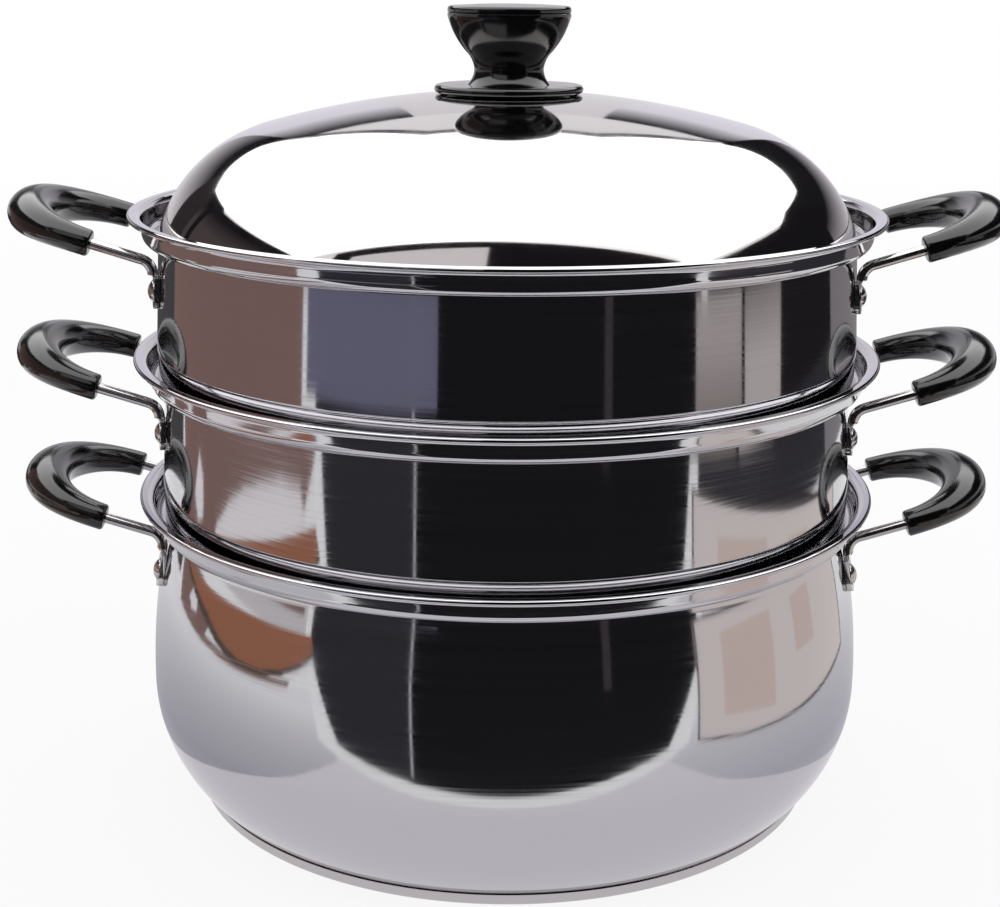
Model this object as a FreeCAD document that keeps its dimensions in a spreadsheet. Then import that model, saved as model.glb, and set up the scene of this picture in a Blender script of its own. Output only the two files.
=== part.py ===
import FreeCAD, Part
import math
import os

import Sketcher

# A three-tier steamer: a bellied pot, two steamer tiers that nest in the collar below them, and a domed lid.
# Millimetres, +Z up, origin at the middle of the pot's base. The handles point along +X and -X.

DIMENSIONS = {
    # Stack
    "pot_height": 128.0,          # floor to the pot's lip
    "tier_pitch": 57.25,          # lip to lip of stacked tiers
    "sheet": 0.7,                 # drawn steel sheet
    # Rim, the same on the pot and on both tiers
    "lip_radius": 152.0,          # outer edge of the lip
    "lip_width": 5.9,             # from the collar's mouth out to the edge
    "lip_edge": 2.0,              # thickness of the hemmed edge
    "lip_roll": 3.2,              # curl of the collar out into the lip
    "collar_depth": 10.8,         # lip down to the seat that carries the next tier
    "collar_flare": 0.3,          # how much the collar widens from seat to mouth
    "seat_width": 6.3,            # from the neck's inside out to the collar
    "seat_bend": 4.2,             # outer bend from the collar in to the flat of the seat
    "neck_bend": 0.3,             # hollow of the bend from seat to wall
    # Pot
    "belly_bulge": 8.9,           # how far the belly stands out past the neck
    "belly_height": 48.0,         # height of the widest part
    "base_step": 19.1,            # how far the flat bottom's edge is inside the belly
    "core_thickness": 3.5,        # aluminium disc
    "cap_sheet": 0.5,             # steel cup round the disc
    "cap_gap": 0.2,               # pot to the cup's wall
    "cap_lap": 0.6,               # how far the cup's wall reaches up past the pot's bottom
    "cap_bend": 2.0,              # rounding of the cup's edge
    "core_play": 0.1,             # disc's edge to the cup's wall
    # Steamer tier
    "tier_spread": 2.2,           # how much the wall widens from neck to crease
    "crease_height": 3.35,        # crease above the lip below
    "crease_drop": 0.9,           # height of the crease
    "crease_step": 0.4,           # how far the foot steps in under the crease
    "foot_clearance": 0.2,        # foot to the bend around the flat that it stands on
    "foot_bend": 0.5,             # rounding of the foot's edge
    "foot_flange": 12.0,          # in-turned flange that carries the floor plate
    "floor_sheet": 0.8,           # perforated floor plate
    "floor_play": 0.3,            # plate's edge to the wall
    "steam_hole": 8.0,            # diameter of the steam holes
    "steam_pitch": 22.0,          # distance between rings of holes
    # Lid
    "lid_dome": 365.0,            # radius of the dome
    "lid_play": 0.1,              # flange to the bend around the flat that it lies on
    "lid_flange": 1.4,            # width of the flange at the lid's edge
    "lid_draft": 16.0,            # lean of the wall where it starts, in degrees
    "lid_shoulder": 62.0,         # radius of the shoulder
    "lid_pad": 9.0,               # radius of the flat under the knob
    # Knob and its screw
    "knob_height": 34.0,          # pad to the top
    "knob_radius": 24.5,
    "knob_band": 4.0,             # straight band under the top edge
    "knob_crown": 0.8,            # rise of the top over its edge
    "knob_edge": 1.4,             # rounding of the top edge
    "knob_waist": 13.9,           # radius of the waist
    "waist_height": 9.0,          # pad to the waist
    "waist_curve": 11.0,          # hollow of the waist above its narrowest place
    "waist_rise": 5.2,            # height of that hollow
    "waist_spread": 2.0,          # how far it spreads
    "bell_curve": 34.0,           # bulge from waist to band
    "skirt_radius": 29.8,
    "skirt_edge": 3.4,            # thickness of the skirt at its edge
    "skirt_gap": 0.32,            # dome to the skirt's lower edge
    "skirt_curve": 8.0,           # hollow from the waist down to the skirt
    "skirt_spread": 2.7,          # how far that hollow spreads
    "skirt_wall": 2.4,            # rim left around the hollow underside
    "hollow_depth": 1.2,          # depth of the hollow underside
    "boss_radius": 8.4,           # middle boss that stands on the lid
    "insert_radius": 4.5,
    "insert_length": 14.0,
    "insert_play": 0.1,           # insert in the knob
    "screw_radius": 2.4,
    "screw_play": 0.2,            # screw in its holes
    "screw_head": 4.8,            # radius of the screw's head
    "screw_head_height": 2.8,
    "screw_spare": 3.0,           # thread left above the screw's end
    "slot_width": 1.2,
    "slot_depth": 1.4,
    "washer_radius": 8.0,
    "washer_thickness": 1.2,
    # Handles
    "handle_reach": 50.0,         # lip's edge to the outside of the grip
    "crown_flat": 13.0,           # straight part of the wire between its two quarter turns
    "grip_length": 40.6,          # leg's end to the outside of the grip
    "grip_leg": 10.6,             # diameter at the leg's end
    "leg_round": 1.2,             # rounding of the leg's end
    "crown_width": 19.0,          # thickness of the crown, outwards
    "crown_height": 17.5,         # thickness of the crown, upright
    "crown_droop": 0.8,           # sag of the crown below the plane of the legs
    "crown_roll": 18.0,           # how far the crown's oval leans outwards, in degrees
    "tier_leg_drop": 10.6,        # tier's lip down to the legs' ends
    "pot_leg_drop": 7.2,          # pot's lip down to the legs' ends
    "rod_slope": 17.0,            # rise of the rod from wall to grip, in degrees
    "rod_diameter": 4.2,
    "rod_play": 0.12,             # rod in the grip
    "rod_bend": 6.0,              # bend at the wall
    "rod_gap": 0.35,              # rod to the wall at that bend
    "tier_rivet_drop": 11.1,      # wire's bend on a tier down to the rivet
    "pot_rivet_drop": 14.6,       # wire's bend on the pot down to the rivet
    "tab_length": 7.0,            # rivet down to the tab's tip
    "tab_width": 8.6,
    "tab_thickness": 2.0,
    "tab_gap": 0.12,              # flat tab to the round wall
    "rivet_radius": 2.0,
    "rivet_play": 0.08,           # rivet in its holes
    "rivet_head": 4.5,            # radius of the domed head
    "rivet_dome": 2.2,            # height of the domed head
    "rivet_clench": 3.4,          # radius of the head inside the wall
    "clench_height": 1.0,
}

HOLES_PER_RING = 6                # the first ring of steam holes; each next ring has as many more
STATION_STEP = 15                 # degrees between the grip's sections
QUARTER_TURN = 90
BEND_ROUNDS = 8                   # steps that settle where the wire's run meets the wall
UP = FreeCAD.Vector(0, 0, 1)
SIDES = (1, -1)                   # the two legs of a handle, along +Y and -Y
LEFT_TURN = 1
RIGHT_TURN = -1


# Sizes: each has its number, and the expression that gives it from the sheet

class Size:
    def __init__(self, value, text):
        self.value = value
        self.text = text

    def __add__(self, other):
        other = as_size(other)
        return Size(self.value + other.value, f"({self.text} + {other.text})")

    def __sub__(self, other):
        other = as_size(other)
        return Size(self.value - other.value, f"({self.text} - {other.text})")

    def __mul__(self, other):
        other = as_size(other)
        return Size(self.value * other.value, f"({self.text} * {other.text})")

    def __truediv__(self, other):
        other = as_size(other)
        return Size(self.value / other.value, f"({self.text} / {other.text})")


def as_size(item):
    if isinstance(item, Size):
        return item
    return Size(float(item), str(float(item)))


def root(size):
    return Size(math.sqrt(size.value), f"sqrt({size.text})")


def sine(size):
    return Size(math.sin(math.radians(size.value)), f"sin({size.text})")


def cosine(size):
    return Size(math.cos(math.radians(size.value)), f"cos({size.text})")


class SizeSheet:
    """Writes the sizes into the document's sheet and gives them by name."""

    def __init__(self, sheet):
        for row, (name, number) in enumerate(DIMENSIONS.items(), start=1):
            sheet.set(f"A{row}", name)
            sheet.set(f"B{row}", str(number))
            sheet.setAlias(f"B{row}", name)
            setattr(self, name, Size(number, f"{sheet.Name}.{name}"))


doc = FreeCAD.newDocument("steamer")
dim = SizeSheet(doc.addObject("Spreadsheet::Sheet", "Sizes"))
doc.recompute()
nodes = []


# Sketches and features

def origin_plane(body, role):
    for item in body.Origin.OriginFeatures:
        if item.Role == role:
            return item
    raise LookupError(role)


def arc_geometry(start, end, radius, turn):
    """An arc of less than half a circle from start to end, with its centre on the side of the turn."""
    chord = end - start
    normal = FreeCAD.Vector(-chord.y, chord.x, 0) * (turn / chord.Length)
    depth = math.sqrt(max(radius ** 2 - (chord.Length / 2) ** 2, 0))
    centre = (start + end) * 0.5 + normal * depth
    first, last = (start, end) if turn == LEFT_TURN else (end, start)
    angle_first = math.atan2(first.y - centre.y, first.x - centre.x)
    angle_last = math.atan2(last.y - centre.y, last.x - centre.x)
    if angle_last < angle_first:
        angle_last += 2 * math.pi
    return Part.ArcOfCircle(Part.Circle(centre, UP, radius), angle_first, angle_last)


def bind(sketch, constraint, size):
    number = sketch.addConstraint(constraint)
    sketch.setExpression(f"Constraints[{number}]", size.text)


def outline(body, name, role, points):
    """A closed sketch through points (x, y), or (x, y, radius, turn) where an arc leaves the point."""
    sketch = body.newObject("Sketcher::SketchObject", name)
    sketch.AttachmentSupport = [(origin_plane(body, role), "")]
    sketch.MapMode = "FlatFace"
    places = [FreeCAD.Vector(as_size(point[0]).value, as_size(point[1]).value, 0) for point in points]
    ends = []
    for index, point in enumerate(points):
        start = places[index]
        end = places[(index + 1) % len(points)]
        if len(point) == 2:
            sketch.addGeometry(Part.LineSegment(start, end), False)
            ends.append((1, 2))
        else:
            sketch.addGeometry(arc_geometry(start, end, point[2].value, point[3]), False)
            ends.append((1, 2) if point[3] == LEFT_TURN else (2, 1))
    for index, (_, end) in enumerate(ends):
        after = (index + 1) % len(points)
        sketch.addConstraint(Sketcher.Constraint("Coincident", index, end, after, ends[after][0]))
    for index, point in enumerate(points):
        start = ends[index][0]
        for kind, axis, place in (("DistanceX", -2, point[0]), ("DistanceY", -1, point[1])):
            if isinstance(place, Size):
                bind(sketch, Sketcher.Constraint(kind, -1, 1, index, start, place.value), place)
            else:
                sketch.addConstraint(Sketcher.Constraint("PointOnObject", index, start, axis))
        if len(point) == 4:
            bind(sketch, Sketcher.Constraint("Radius", index, point[2].value), point[2])
    return sketch


def turned(name, points):
    """A body turned about the upright axis from its half section, whose points on an axis are written as 0."""
    body = doc.addObject("PartDesign::Body", name)
    section = outline(body, name + "_section", "XZ_Plane", points)
    turn = body.newObject("PartDesign::Revolution", name + "_turn")
    turn.Profile = section
    turn.ReferenceAxis = (section, ["V_Axis"])
    turn.Angle = 360
    body.Tip = turn
    return body


def cap_curve(reach, rise):
    """Radius of an arc that rises over a reach from its edge to its level top."""
    return (reach * reach + rise * rise) / (rise * 2)


def raise_by(item, height):
    """Stands an object at a height that the sheet gives."""
    item.setExpression("Placement.Base.z", height.text)


def keep(item, label):
    item.Label = label
    nodes.append(item)
    return item


# The rim that the pot and the tiers share, and the places that follow from it

mouth_radius = dim.lip_radius - dim.lip_width
seat_radius = mouth_radius - dim.collar_flare
seat_flat = seat_radius + dim.sheet - dim.seat_bend
neck_inside = seat_radius - dim.seat_width
neck_radius = neck_inside + dim.sheet
neck_drop = dim.collar_depth + dim.sheet + dim.neck_bend
belly_radius = neck_radius + dim.belly_bulge
base_radius = belly_radius - dim.base_step


def rim(top):
    """The rim's section from the outside of the neck, round the lip at the height top, to the inside of the neck."""
    seat = top - dim.collar_depth
    under_seat = seat - dim.sheet
    under_lip = top - dim.lip_edge
    half_edge = dim.lip_edge / 2
    outer_curl = dim.lip_roll - dim.sheet
    inner_bend = dim.seat_bend - dim.sheet
    return [
        (neck_radius, under_seat - dim.neck_bend, dim.neck_bend, RIGHT_TURN),
        (neck_radius + dim.neck_bend, under_seat),
        (seat_flat, under_seat, dim.seat_bend, LEFT_TURN),
        (seat_radius + dim.sheet, under_seat + dim.seat_bend),
        (mouth_radius + dim.sheet, under_lip - outer_curl, outer_curl, RIGHT_TURN),
        (mouth_radius + dim.lip_roll, under_lip),
        (dim.lip_radius - half_edge, under_lip, half_edge, LEFT_TURN),
        (dim.lip_radius, top - half_edge, half_edge, LEFT_TURN),
        (dim.lip_radius - half_edge, top),
        (mouth_radius + dim.lip_roll, top, dim.lip_roll, LEFT_TURN),
        (mouth_radius, top - dim.lip_roll),
        (seat_radius, seat + inner_bend, inner_bend, RIGHT_TURN),
        (seat_flat, seat),
        (neck_radius + dim.neck_bend, seat, dim.neck_bend + dim.sheet, LEFT_TURN),
    ]


# Walls at the handles: radius at a drop below the lip, and how fast the wall widens downwards

def tier_wall(drop):
    crease_drop = dim.tier_pitch.value - dim.crease_height.value
    lean = dim.tier_spread.value / (crease_drop - neck_drop.value)
    return neck_radius.value + lean * (drop - neck_drop.value), lean


def pot_wall(drop):
    inward = dim.belly_bulge.value
    upward = dim.pot_height.value - neck_drop.value - dim.belly_height.value
    curve = (inward ** 2 + upward ** 2) / (2 * inward)
    rise = dim.pot_height.value - drop - dim.belly_height.value
    run = math.sqrt(curve ** 2 - rise ** 2)
    return belly_radius.value - curve + run, rise / run


# Handle: a wire loop in a sloping plane, with both ends bent down along the wall, and the grip moulded on it

grip_end = dim.lip_radius.value + dim.handle_reach.value
crown_middle = grip_end - dim.crown_width.value / 2
leg_end = grip_end - dim.grip_length.value
quarter_reach = crown_middle - leg_end
slope = math.radians(dim.rod_slope.value)
wire_reach = quarter_reach / math.cos(slope)
half_span = wire_reach + dim.crown_flat.value / 2
rod_radius = dim.rod_diameter.value / 2
tab_near = dim.tab_gap.value
tab_far = tab_near + dim.tab_thickness.value
run_heading = FreeCAD.Vector(math.cos(slope), 0, math.sin(slope))


def leg_point(side):
    return FreeCAD.Vector(leg_end, side * half_span, 0)


class Tab:
    """The flattened end of a rod, on its wall. Side is 1 or -1 along Y; heights are from the legs' ends."""

    def __init__(self, wall, leg_drop, bend_to_rivet, side):
        bend_drop = leg_drop
        for _ in range(BEND_ROUNDS):
            bend_radius = wall(bend_drop)[0] + rod_radius + dim.rod_gap.value
            bend_reach = math.sqrt(bend_radius ** 2 - half_span ** 2)
            bend_drop = leg_drop + (leg_end - bend_reach) * math.tan(slope)
        azimuth = side * math.asin(half_span / bend_radius)
        radial = FreeCAD.Vector(math.cos(azimuth), math.sin(azimuth), 0)
        rivet_drop = bend_drop + bend_to_rivet
        radius, lean = wall(rivet_drop)
        self.tangent = FreeCAD.Vector(-math.sin(azimuth), math.cos(azimuth), 0)
        self.normal = (radial + UP * lean).normalize()
        self.down = (radial * lean - UP).normalize()
        self.rivet = radial * radius - UP * (rivet_drop - leg_drop)
        self.bend = radial * bend_radius - UP * (bend_drop - leg_drop)
        self.leg = leg_point(side)

    def at(self, across, outward, downward):
        return self.rivet + self.tangent * across + self.normal * outward + self.down * downward

    def placement(self):
        """Turns an upright axis to the wall's normal at the rivet."""
        return FreeCAD.Placement(self.rivet, FreeCAD.Rotation(UP, self.normal))


def line(start, end):
    return Part.LineSegment(start, end).toShape()


def arc(start, middle, end):
    return Part.Arc(start, middle, end).toShape()


def round_bar(edges, start, heading, radius):
    ring = Part.Wire([Part.Circle(start, heading, radius).toShape()])
    return Part.Wire(edges).makePipeShell([ring], True, False)


def loop_edges(before, after):
    """The wire's path through the grip: a quarter turn, the crown and a quarter turn, with runs at both ends."""
    bow = math.sqrt(0.5) * wire_reach
    ends = [leg_point(side) for side in SIDES]
    middles = []
    corners = []
    for end, side in zip(ends, SIDES):
        middles.append(end + run_heading * bow - FreeCAD.Vector(0, side * (wire_reach - bow), 0))
        corners.append(end + run_heading * wire_reach - FreeCAD.Vector(0, side * wire_reach, 0))
    return [
        line(before, ends[0]),
        arc(ends[0], middles[0], corners[0]),
        line(corners[0], corners[1]),
        arc(corners[1], middles[1], ends[1]),
        line(ends[1], after),
    ]


def wall_bend(tab):
    """The bend between the run from the grip and the upright end on the wall."""
    upright = (tab.at(0, rod_radius + tab_near, 0) - tab.bend).normalize()
    outward = (tab.leg - tab.bend).normalize()
    half = upright.getAngle(outward) / 2
    reach = dim.rod_bend.value / math.tan(half)
    inset = dim.rod_bend.value / math.sin(half) - dim.rod_bend.value
    low = tab.bend + upright * reach
    high = tab.bend + outward * reach
    middle = tab.bend + (upright + outward).normalize() * inset
    return low, middle, high


def flattened_end(tab, start):
    """The wire's end, from round at start, square to the wire, to a flat tab with a round tip."""
    outer = tab.tangent.cross(tab.bend - start).normalize() * rod_radius
    side = tab.tangent * rod_radius
    half_width = dim.tab_width.value / 2
    flat_top = ((start - tab.rivet).dot(tab.down) - dim.rivet_head.value) / 2
    corner = math.sqrt(0.5)
    round_sides = []
    flat_sides = []
    quadrants = ((1, 1), (-1, 1), (-1, -1), (1, -1))
    middles = ((0, 1), (-1, 0), (0, -1), (1, 0))
    faces = {1: tab_far, -1: tab_near}
    for index, (across, outward) in enumerate(quadrants):
        across_next, outward_next = quadrants[(index + 1) % len(quadrants)]
        across_middle, outward_middle = middles[index]
        round_sides.append(arc(
            start + (side * across + outer * outward) * corner,
            start + side * across_middle + outer * outward_middle,
            start + (side * across_next + outer * outward_next) * corner))
        flat_sides.append(line(
            tab.at(across * half_width, faces[outward], flat_top),
            tab.at(across_next * half_width, faces[outward_next], flat_top)))
    taper = Part.makeLoft([Part.Wire(round_sides), Part.Wire(flat_sides)], True, True)
    tip = dim.tab_length.value
    round_from = tip - half_width
    plate = Part.Wire([
        line(tab.at(half_width, tab_near, flat_top), tab.at(-half_width, tab_near, flat_top)),
        line(tab.at(-half_width, tab_near, flat_top), tab.at(-half_width, tab_near, round_from)),
        arc(tab.at(-half_width, tab_near, round_from), tab.at(0, tab_near, tip),
            tab.at(half_width, tab_near, round_from)),
        line(tab.at(half_width, tab_near, round_from), tab.at(half_width, tab_near, flat_top)),
    ])
    return [taper, Part.Face(plate).extrude(tab.normal * dim.tab_thickness.value)]


def rod_shape(tabs):
    """One bent wire from the tab on +Y through the grip to the tab on -Y, with a hole in each tab."""
    low, middle, high = wall_bend(tabs[0])
    far_low, far_middle, far_high = wall_bend(tabs[1])
    path = [arc(low, middle, high)] + loop_edges(high, far_high) + [arc(far_high, far_middle, far_low)]
    heading = (tabs[0].bend - low).normalize()
    bar = round_bar(path, low, heading, rod_radius)
    shape = bar.fuse(flattened_end(tabs[0], low) + flattened_end(tabs[1], far_low))
    hole = dim.rivet_radius.value + dim.rivet_play.value
    drills = [Part.makeCylinder(hole, 3 * tab_far, tab.at(0, -tab_far, 0), tab.normal) for tab in tabs]
    return shape.cut(drills).removeSplitter()


def grip_section(angle, side):
    """The grip's oval at an angle round its loop, which is 0 at the leg's end and a right angle at the crown."""
    swell = math.sin(angle) ** 2
    along = quarter_reach * math.sin(angle)
    height = along * math.tan(slope) - dim.crown_droop.value * swell
    place = FreeCAD.Vector(leg_end + along, side * half_span * math.cos(angle), height)
    outward = quarter_reach * math.cos(angle)
    heading = FreeCAD.Vector(outward, -side * half_span * math.sin(angle), outward * math.tan(slope)).normalize()
    sideways = UP.cross(heading).normalize() * side
    upright = (UP - heading * heading.z).normalize()
    roll = math.radians(dim.crown_roll.value) * swell
    half_width = (dim.grip_leg.value + (dim.crown_width.value - dim.grip_leg.value) * swell) / 2
    half_height = (dim.grip_leg.value + (dim.crown_height.value - dim.grip_leg.value) * swell) / 2
    wide = (sideways * math.cos(roll) - upright * math.sin(roll)) * half_width
    tall = (upright * math.cos(roll) + sideways * math.sin(roll)) * half_height
    stretch = FreeCAD.Matrix(wide.x, tall.x, heading.x, place.x,
                             wide.y, tall.y, heading.y, place.y,
                             wide.z, tall.z, heading.z, place.z)
    return Part.Wire(Part.makeCircle(1).transformGeometry(stretch).Edges)


def grip_shape():
    """The moulded loop: slim round legs that swell into a leaning oval crown, with a bore for the wire."""
    turns = [math.radians(angle) for angle in range(0, QUARTER_TURN + STATION_STEP, STATION_STEP)]
    sections = [grip_section(angle, 1) for angle in turns]
    sections += [grip_section(angle, -1) for angle in reversed(turns[:-1])]
    loop = Part.makeLoft(sections, True, False)
    ends = [edge for edge in loop.Edges if edge.BoundBox.XMax < leg_end + dim.grip_leg.value / 2]
    loop = loop.makeFillet(dim.leg_round.value, ends)
    spare = run_heading * dim.rod_diameter.value
    before, after = [leg_point(side) - spare for side in SIDES]
    bore = round_bar(loop_edges(before, after), before, run_heading, rod_radius + dim.rod_play.value)
    return loop.cut(bore)


# Rivet: domed head outside the tab, shank through tab and wall, clenched head inside

head_base = dim.tab_gap + dim.tab_thickness
clench_top = (dim.sheet + dim.tab_gap) * -1
rivet = turned("rivet", [
    (0, clench_top - dim.clench_height),
    (dim.rivet_clench, clench_top - dim.clench_height),
    (dim.rivet_clench, clench_top),
    (dim.rivet_radius, clench_top),
    (dim.rivet_radius, head_base),
    (dim.rivet_head, head_base, cap_curve(dim.rivet_head, dim.rivet_dome), LEFT_TURN),
    (0, head_base + dim.rivet_dome),
])
doc.recompute()


def placed(shape, label, height, angle):
    """A handle's piece, made for +X with its legs at zero, stood at its own height and side."""
    item = doc.addObject("Part::Feature", label)
    item.Shape = shape
    item.Placement = FreeCAD.Placement(UP * height.value, FreeCAD.Rotation(UP, angle))
    return keep(item, label)


def rivet_pair(tabs):
    pair = []
    for tab in tabs:
        copy = rivet.Shape.copy()
        copy.Placement = tab.placement()
        pair.append(copy)
    return Part.makeCompound(pair)


def add_handles(prefix, height, tabs):
    """Right and left handles of the pot or of a tier, with their legs at a height."""
    rod = rod_shape(tabs)
    rivets = rivet_pair(tabs)
    for side, angle in (("right", 0), ("left", 180)):
        placed(grip, f"{prefix}_{side}_grip", height, angle)
        placed(rod, f"{prefix}_{side}_rod", height, angle)
        placed(rivets, f"{prefix}_{side}_rivets", height, angle)


def drilled(body, label, height, tabs):
    """A wall with the holes for the rivets of its handles."""
    drills = []
    reach = dim.rivet_clench * 2
    for angle in (0, 180):
        for tab in tabs:
            drill = doc.addObject("Part::Cylinder", f"{label}_drill_{len(drills) + 1}")
            drill.setExpression("Radius", (dim.rivet_radius + dim.rivet_play).text)
            drill.setExpression("Height", (reach * 2).text)
            turn = FreeCAD.Placement(UP * height.value, FreeCAD.Rotation(UP, angle))
            back = FreeCAD.Placement(UP * -reach.value, FreeCAD.Rotation())
            drill.Placement = turn.multiply(tab.placement()).multiply(back)
            drills.append(drill)
    tool = doc.addObject("Part::Compound", label + "_drills")
    tool.Links = drills
    wall = doc.addObject("Part::Cut", label)
    body.Label = label + "_blank"
    wall.Base = body
    wall.Tool = tool
    return keep(wall, label)


grip = grip_shape()
pot_tabs = [Tab(pot_wall, dim.pot_leg_drop.value, dim.pot_rivet_drop.value, side) for side in SIDES]
tier_tabs = [Tab(tier_wall, dim.tier_leg_drop.value, dim.tier_rivet_drop.value, side) for side in SIDES]


# Pot: drawn body, aluminium disc, and the cup that closes the base

pot_bottom = dim.cap_sheet + dim.core_thickness


def bulge(narrow, wide, height):
    """Radius of an arc that is upright at its wide end and reaches its narrow end within a height."""
    return cap_curve(height, wide - narrow)


lower_rise = dim.belly_height - pot_bottom
lower_curve = bulge(base_radius, belly_radius, lower_rise)
base_lean = lower_rise / (lower_curve - dim.base_step)


def pot_section():
    neck_height = dim.pot_height - neck_drop
    upper_rise = neck_height - dim.belly_height
    inside_belly = belly_radius - dim.sheet
    inside_base = base_radius - dim.sheet / 2
    inside_bottom = pot_bottom + dim.sheet
    upper_curve = bulge(neck_radius, belly_radius, upper_rise)
    inside_lower = bulge(inside_base, inside_belly, dim.belly_height - inside_bottom)
    inside_upper = bulge(neck_inside, inside_belly, upper_rise)
    return [
        (0, pot_bottom),
        (base_radius, pot_bottom, lower_curve, LEFT_TURN),
        (belly_radius, dim.belly_height, upper_curve, LEFT_TURN),
        *rim(dim.pot_height),
        (neck_inside, neck_height, inside_upper, RIGHT_TURN),
        (inside_belly, dim.belly_height, inside_lower, RIGHT_TURN),
        (inside_base, inside_bottom),
        (0, inside_bottom),
    ]


pot = turned("pot_blank", pot_section())
pot_legs = dim.pot_height - dim.pot_leg_drop
drilled(pot, "pot_body", pot_legs, pot_tabs)

cap_inside = base_radius + dim.cap_lap * base_lean + dim.cap_gap
cap_outside = cap_inside + dim.cap_sheet
cap_top = pot_bottom + dim.cap_lap
cap = turned("pot_base_cap", [
    (0, 0),
    (cap_outside - dim.cap_bend, 0, dim.cap_bend, LEFT_TURN),
    (cap_outside, dim.cap_bend),
    (cap_outside, cap_top),
    (cap_inside, cap_top),
    (cap_inside, dim.cap_bend, dim.cap_bend - dim.cap_sheet, RIGHT_TURN),
    (cap_outside - dim.cap_bend, dim.cap_sheet),
    (0, dim.cap_sheet),
])
keep(cap, "pot_base_cap")

core_radius = cap_inside - dim.core_play
core = turned("pot_base_core", [
    (0, dim.cap_sheet),
    (core_radius - dim.cap_bend, dim.cap_sheet),
    (core_radius, dim.cap_sheet + dim.cap_bend),
    (core_radius, pot_bottom),
    (0, pot_bottom),
])
keep(core, "pot_base_core")
add_handles("pot", pot_legs, pot_tabs)


# Steamer tiers: a wall with the same rim, a crease, and a foot that stands on the seat below

foot_radius = seat_flat - dim.foot_clearance
foot_bottom = dim.collar_depth * -1
floor_radius = foot_radius - dim.sheet - dim.floor_play


def tier_section():
    """Half section of a tier's wall. Its zero is the plane of the lip that it stands in."""
    crease = neck_radius + dim.tier_spread
    under_crease = dim.crease_height - dim.crease_drop
    neck_height = dim.tier_pitch - neck_drop
    flange_top = foot_bottom + dim.sheet
    flange_edge = foot_radius - dim.foot_flange
    return [
        (flange_edge, foot_bottom),
        (foot_radius - dim.foot_bend, foot_bottom, dim.foot_bend, LEFT_TURN),
        (foot_radius, foot_bottom + dim.foot_bend),
        (crease - dim.crease_step, under_crease),
        (crease, dim.crease_height),
        *rim(dim.tier_pitch),
        (neck_inside, neck_height),
        (crease - dim.sheet, dim.crease_height),
        (crease - dim.crease_step - dim.sheet, under_crease),
        (foot_radius - dim.sheet, flange_top),
        (flange_edge, flange_top),
    ]


def steam_floor(name):
    """The perforated plate: a middle hole and rings of holes, as many rings as fit inside the flange."""
    body = doc.addObject("PartDesign::Body", name)
    disc = body.newObject("Sketcher::SketchObject", name + "_disc")
    disc.AttachmentSupport = [(origin_plane(body, "XY_Plane"), "")]
    disc.MapMode = "FlatFace"
    centre = FreeCAD.Vector(0, 0, 0)
    disc.addGeometry(Part.Circle(centre, UP, floor_radius.value), False)
    disc.addGeometry(Part.Circle(centre, UP, dim.steam_hole.value / 2), False)
    for number, size in enumerate((floor_radius, dim.steam_hole / 2)):
        disc.addConstraint(Sketcher.Constraint("Coincident", number, 3, -1, 1))
        bind(disc, Sketcher.Constraint("Radius", number, size.value), size)
    plate = body.newObject("PartDesign::Pad", name + "_plate")
    plate.Profile = disc
    plate.setExpression("Length", dim.floor_sheet.text)
    body.Tip = plate
    doc.recompute()
    clear_radius = foot_radius.value - dim.foot_flange.value - dim.steam_hole.value
    for ring in range(1, int(clear_radius / dim.steam_pitch.value) + 1):
        hole = body.newObject("Sketcher::SketchObject", f"{name}_hole_{ring}")
        hole.AttachmentSupport = [(origin_plane(body, "XY_Plane"), "")]
        hole.MapMode = "FlatFace"
        away = dim.steam_pitch * ring
        hole.addGeometry(Part.Circle(FreeCAD.Vector(away.value, 0, 0), UP, dim.steam_hole.value / 2), False)
        hole.addConstraint(Sketcher.Constraint("PointOnObject", 0, 3, -1))
        bind(hole, Sketcher.Constraint("DistanceX", -1, 1, 0, 3, away.value), away)
        bind(hole, Sketcher.Constraint("Radius", 0, dim.steam_hole.value / 2), dim.steam_hole / 2)
        punch = body.newObject("PartDesign::Pocket", f"{name}_punch_{ring}")
        punch.Profile = hole
        punch.Type = "ThroughAll"
        punch.Midplane = True
        body.Tip = punch
        doc.recompute()
        pattern = body.newObject("PartDesign::PolarPattern", f"{name}_ring_{ring}")
        pattern.Originals = [punch]
        pattern.Axis = (hole, ["N_Axis"])
        pattern.Angle = 360
        pattern.Occurrences = HOLES_PER_RING * ring
        body.Tip = pattern
    return body


def add_tier(prefix, stand):
    """One tier, standing in the lip at the height stand."""
    wall = turned(prefix + "_blank", tier_section())
    raise_by(wall, stand)
    doc.recompute()
    lip = stand + dim.tier_pitch
    legs = lip - dim.tier_leg_drop
    drilled(wall, prefix + "_wall", legs, tier_tabs)
    plate = keep(steam_floor(prefix + "_floor"), prefix + "_floor")
    raise_by(plate, stand + foot_bottom + dim.sheet)
    add_handles(prefix, legs, tier_tabs)
    return lip


lower_lip = add_tier("lower_steamer", dim.pot_height)
upper_lip = add_tier("upper_steamer", lower_lip)


# Lid: flange on the seat, leaning wall that rolls over the shoulder into a shallow dome, and a flat pad

flange_radius = seat_flat - dim.lid_play
lid_wall = flange_radius - dim.lid_flange
shoulder_x = lid_wall - dim.lid_shoulder * cosine(dim.lid_draft)
shoulder_z = dim.sheet - dim.lid_shoulder * sine(dim.lid_draft)
shoulder_share = dim.lid_dome - dim.lid_shoulder
dome_z = shoulder_z - root(shoulder_share * shoulder_share - shoulder_x * shoulder_x)


def on_join(radius):
    """The point where shoulder and dome meet, on a face with this dome radius."""
    return shoulder_x * radius / shoulder_share, dome_z + (shoulder_z - dome_z) * radius / shoulder_share


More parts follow.
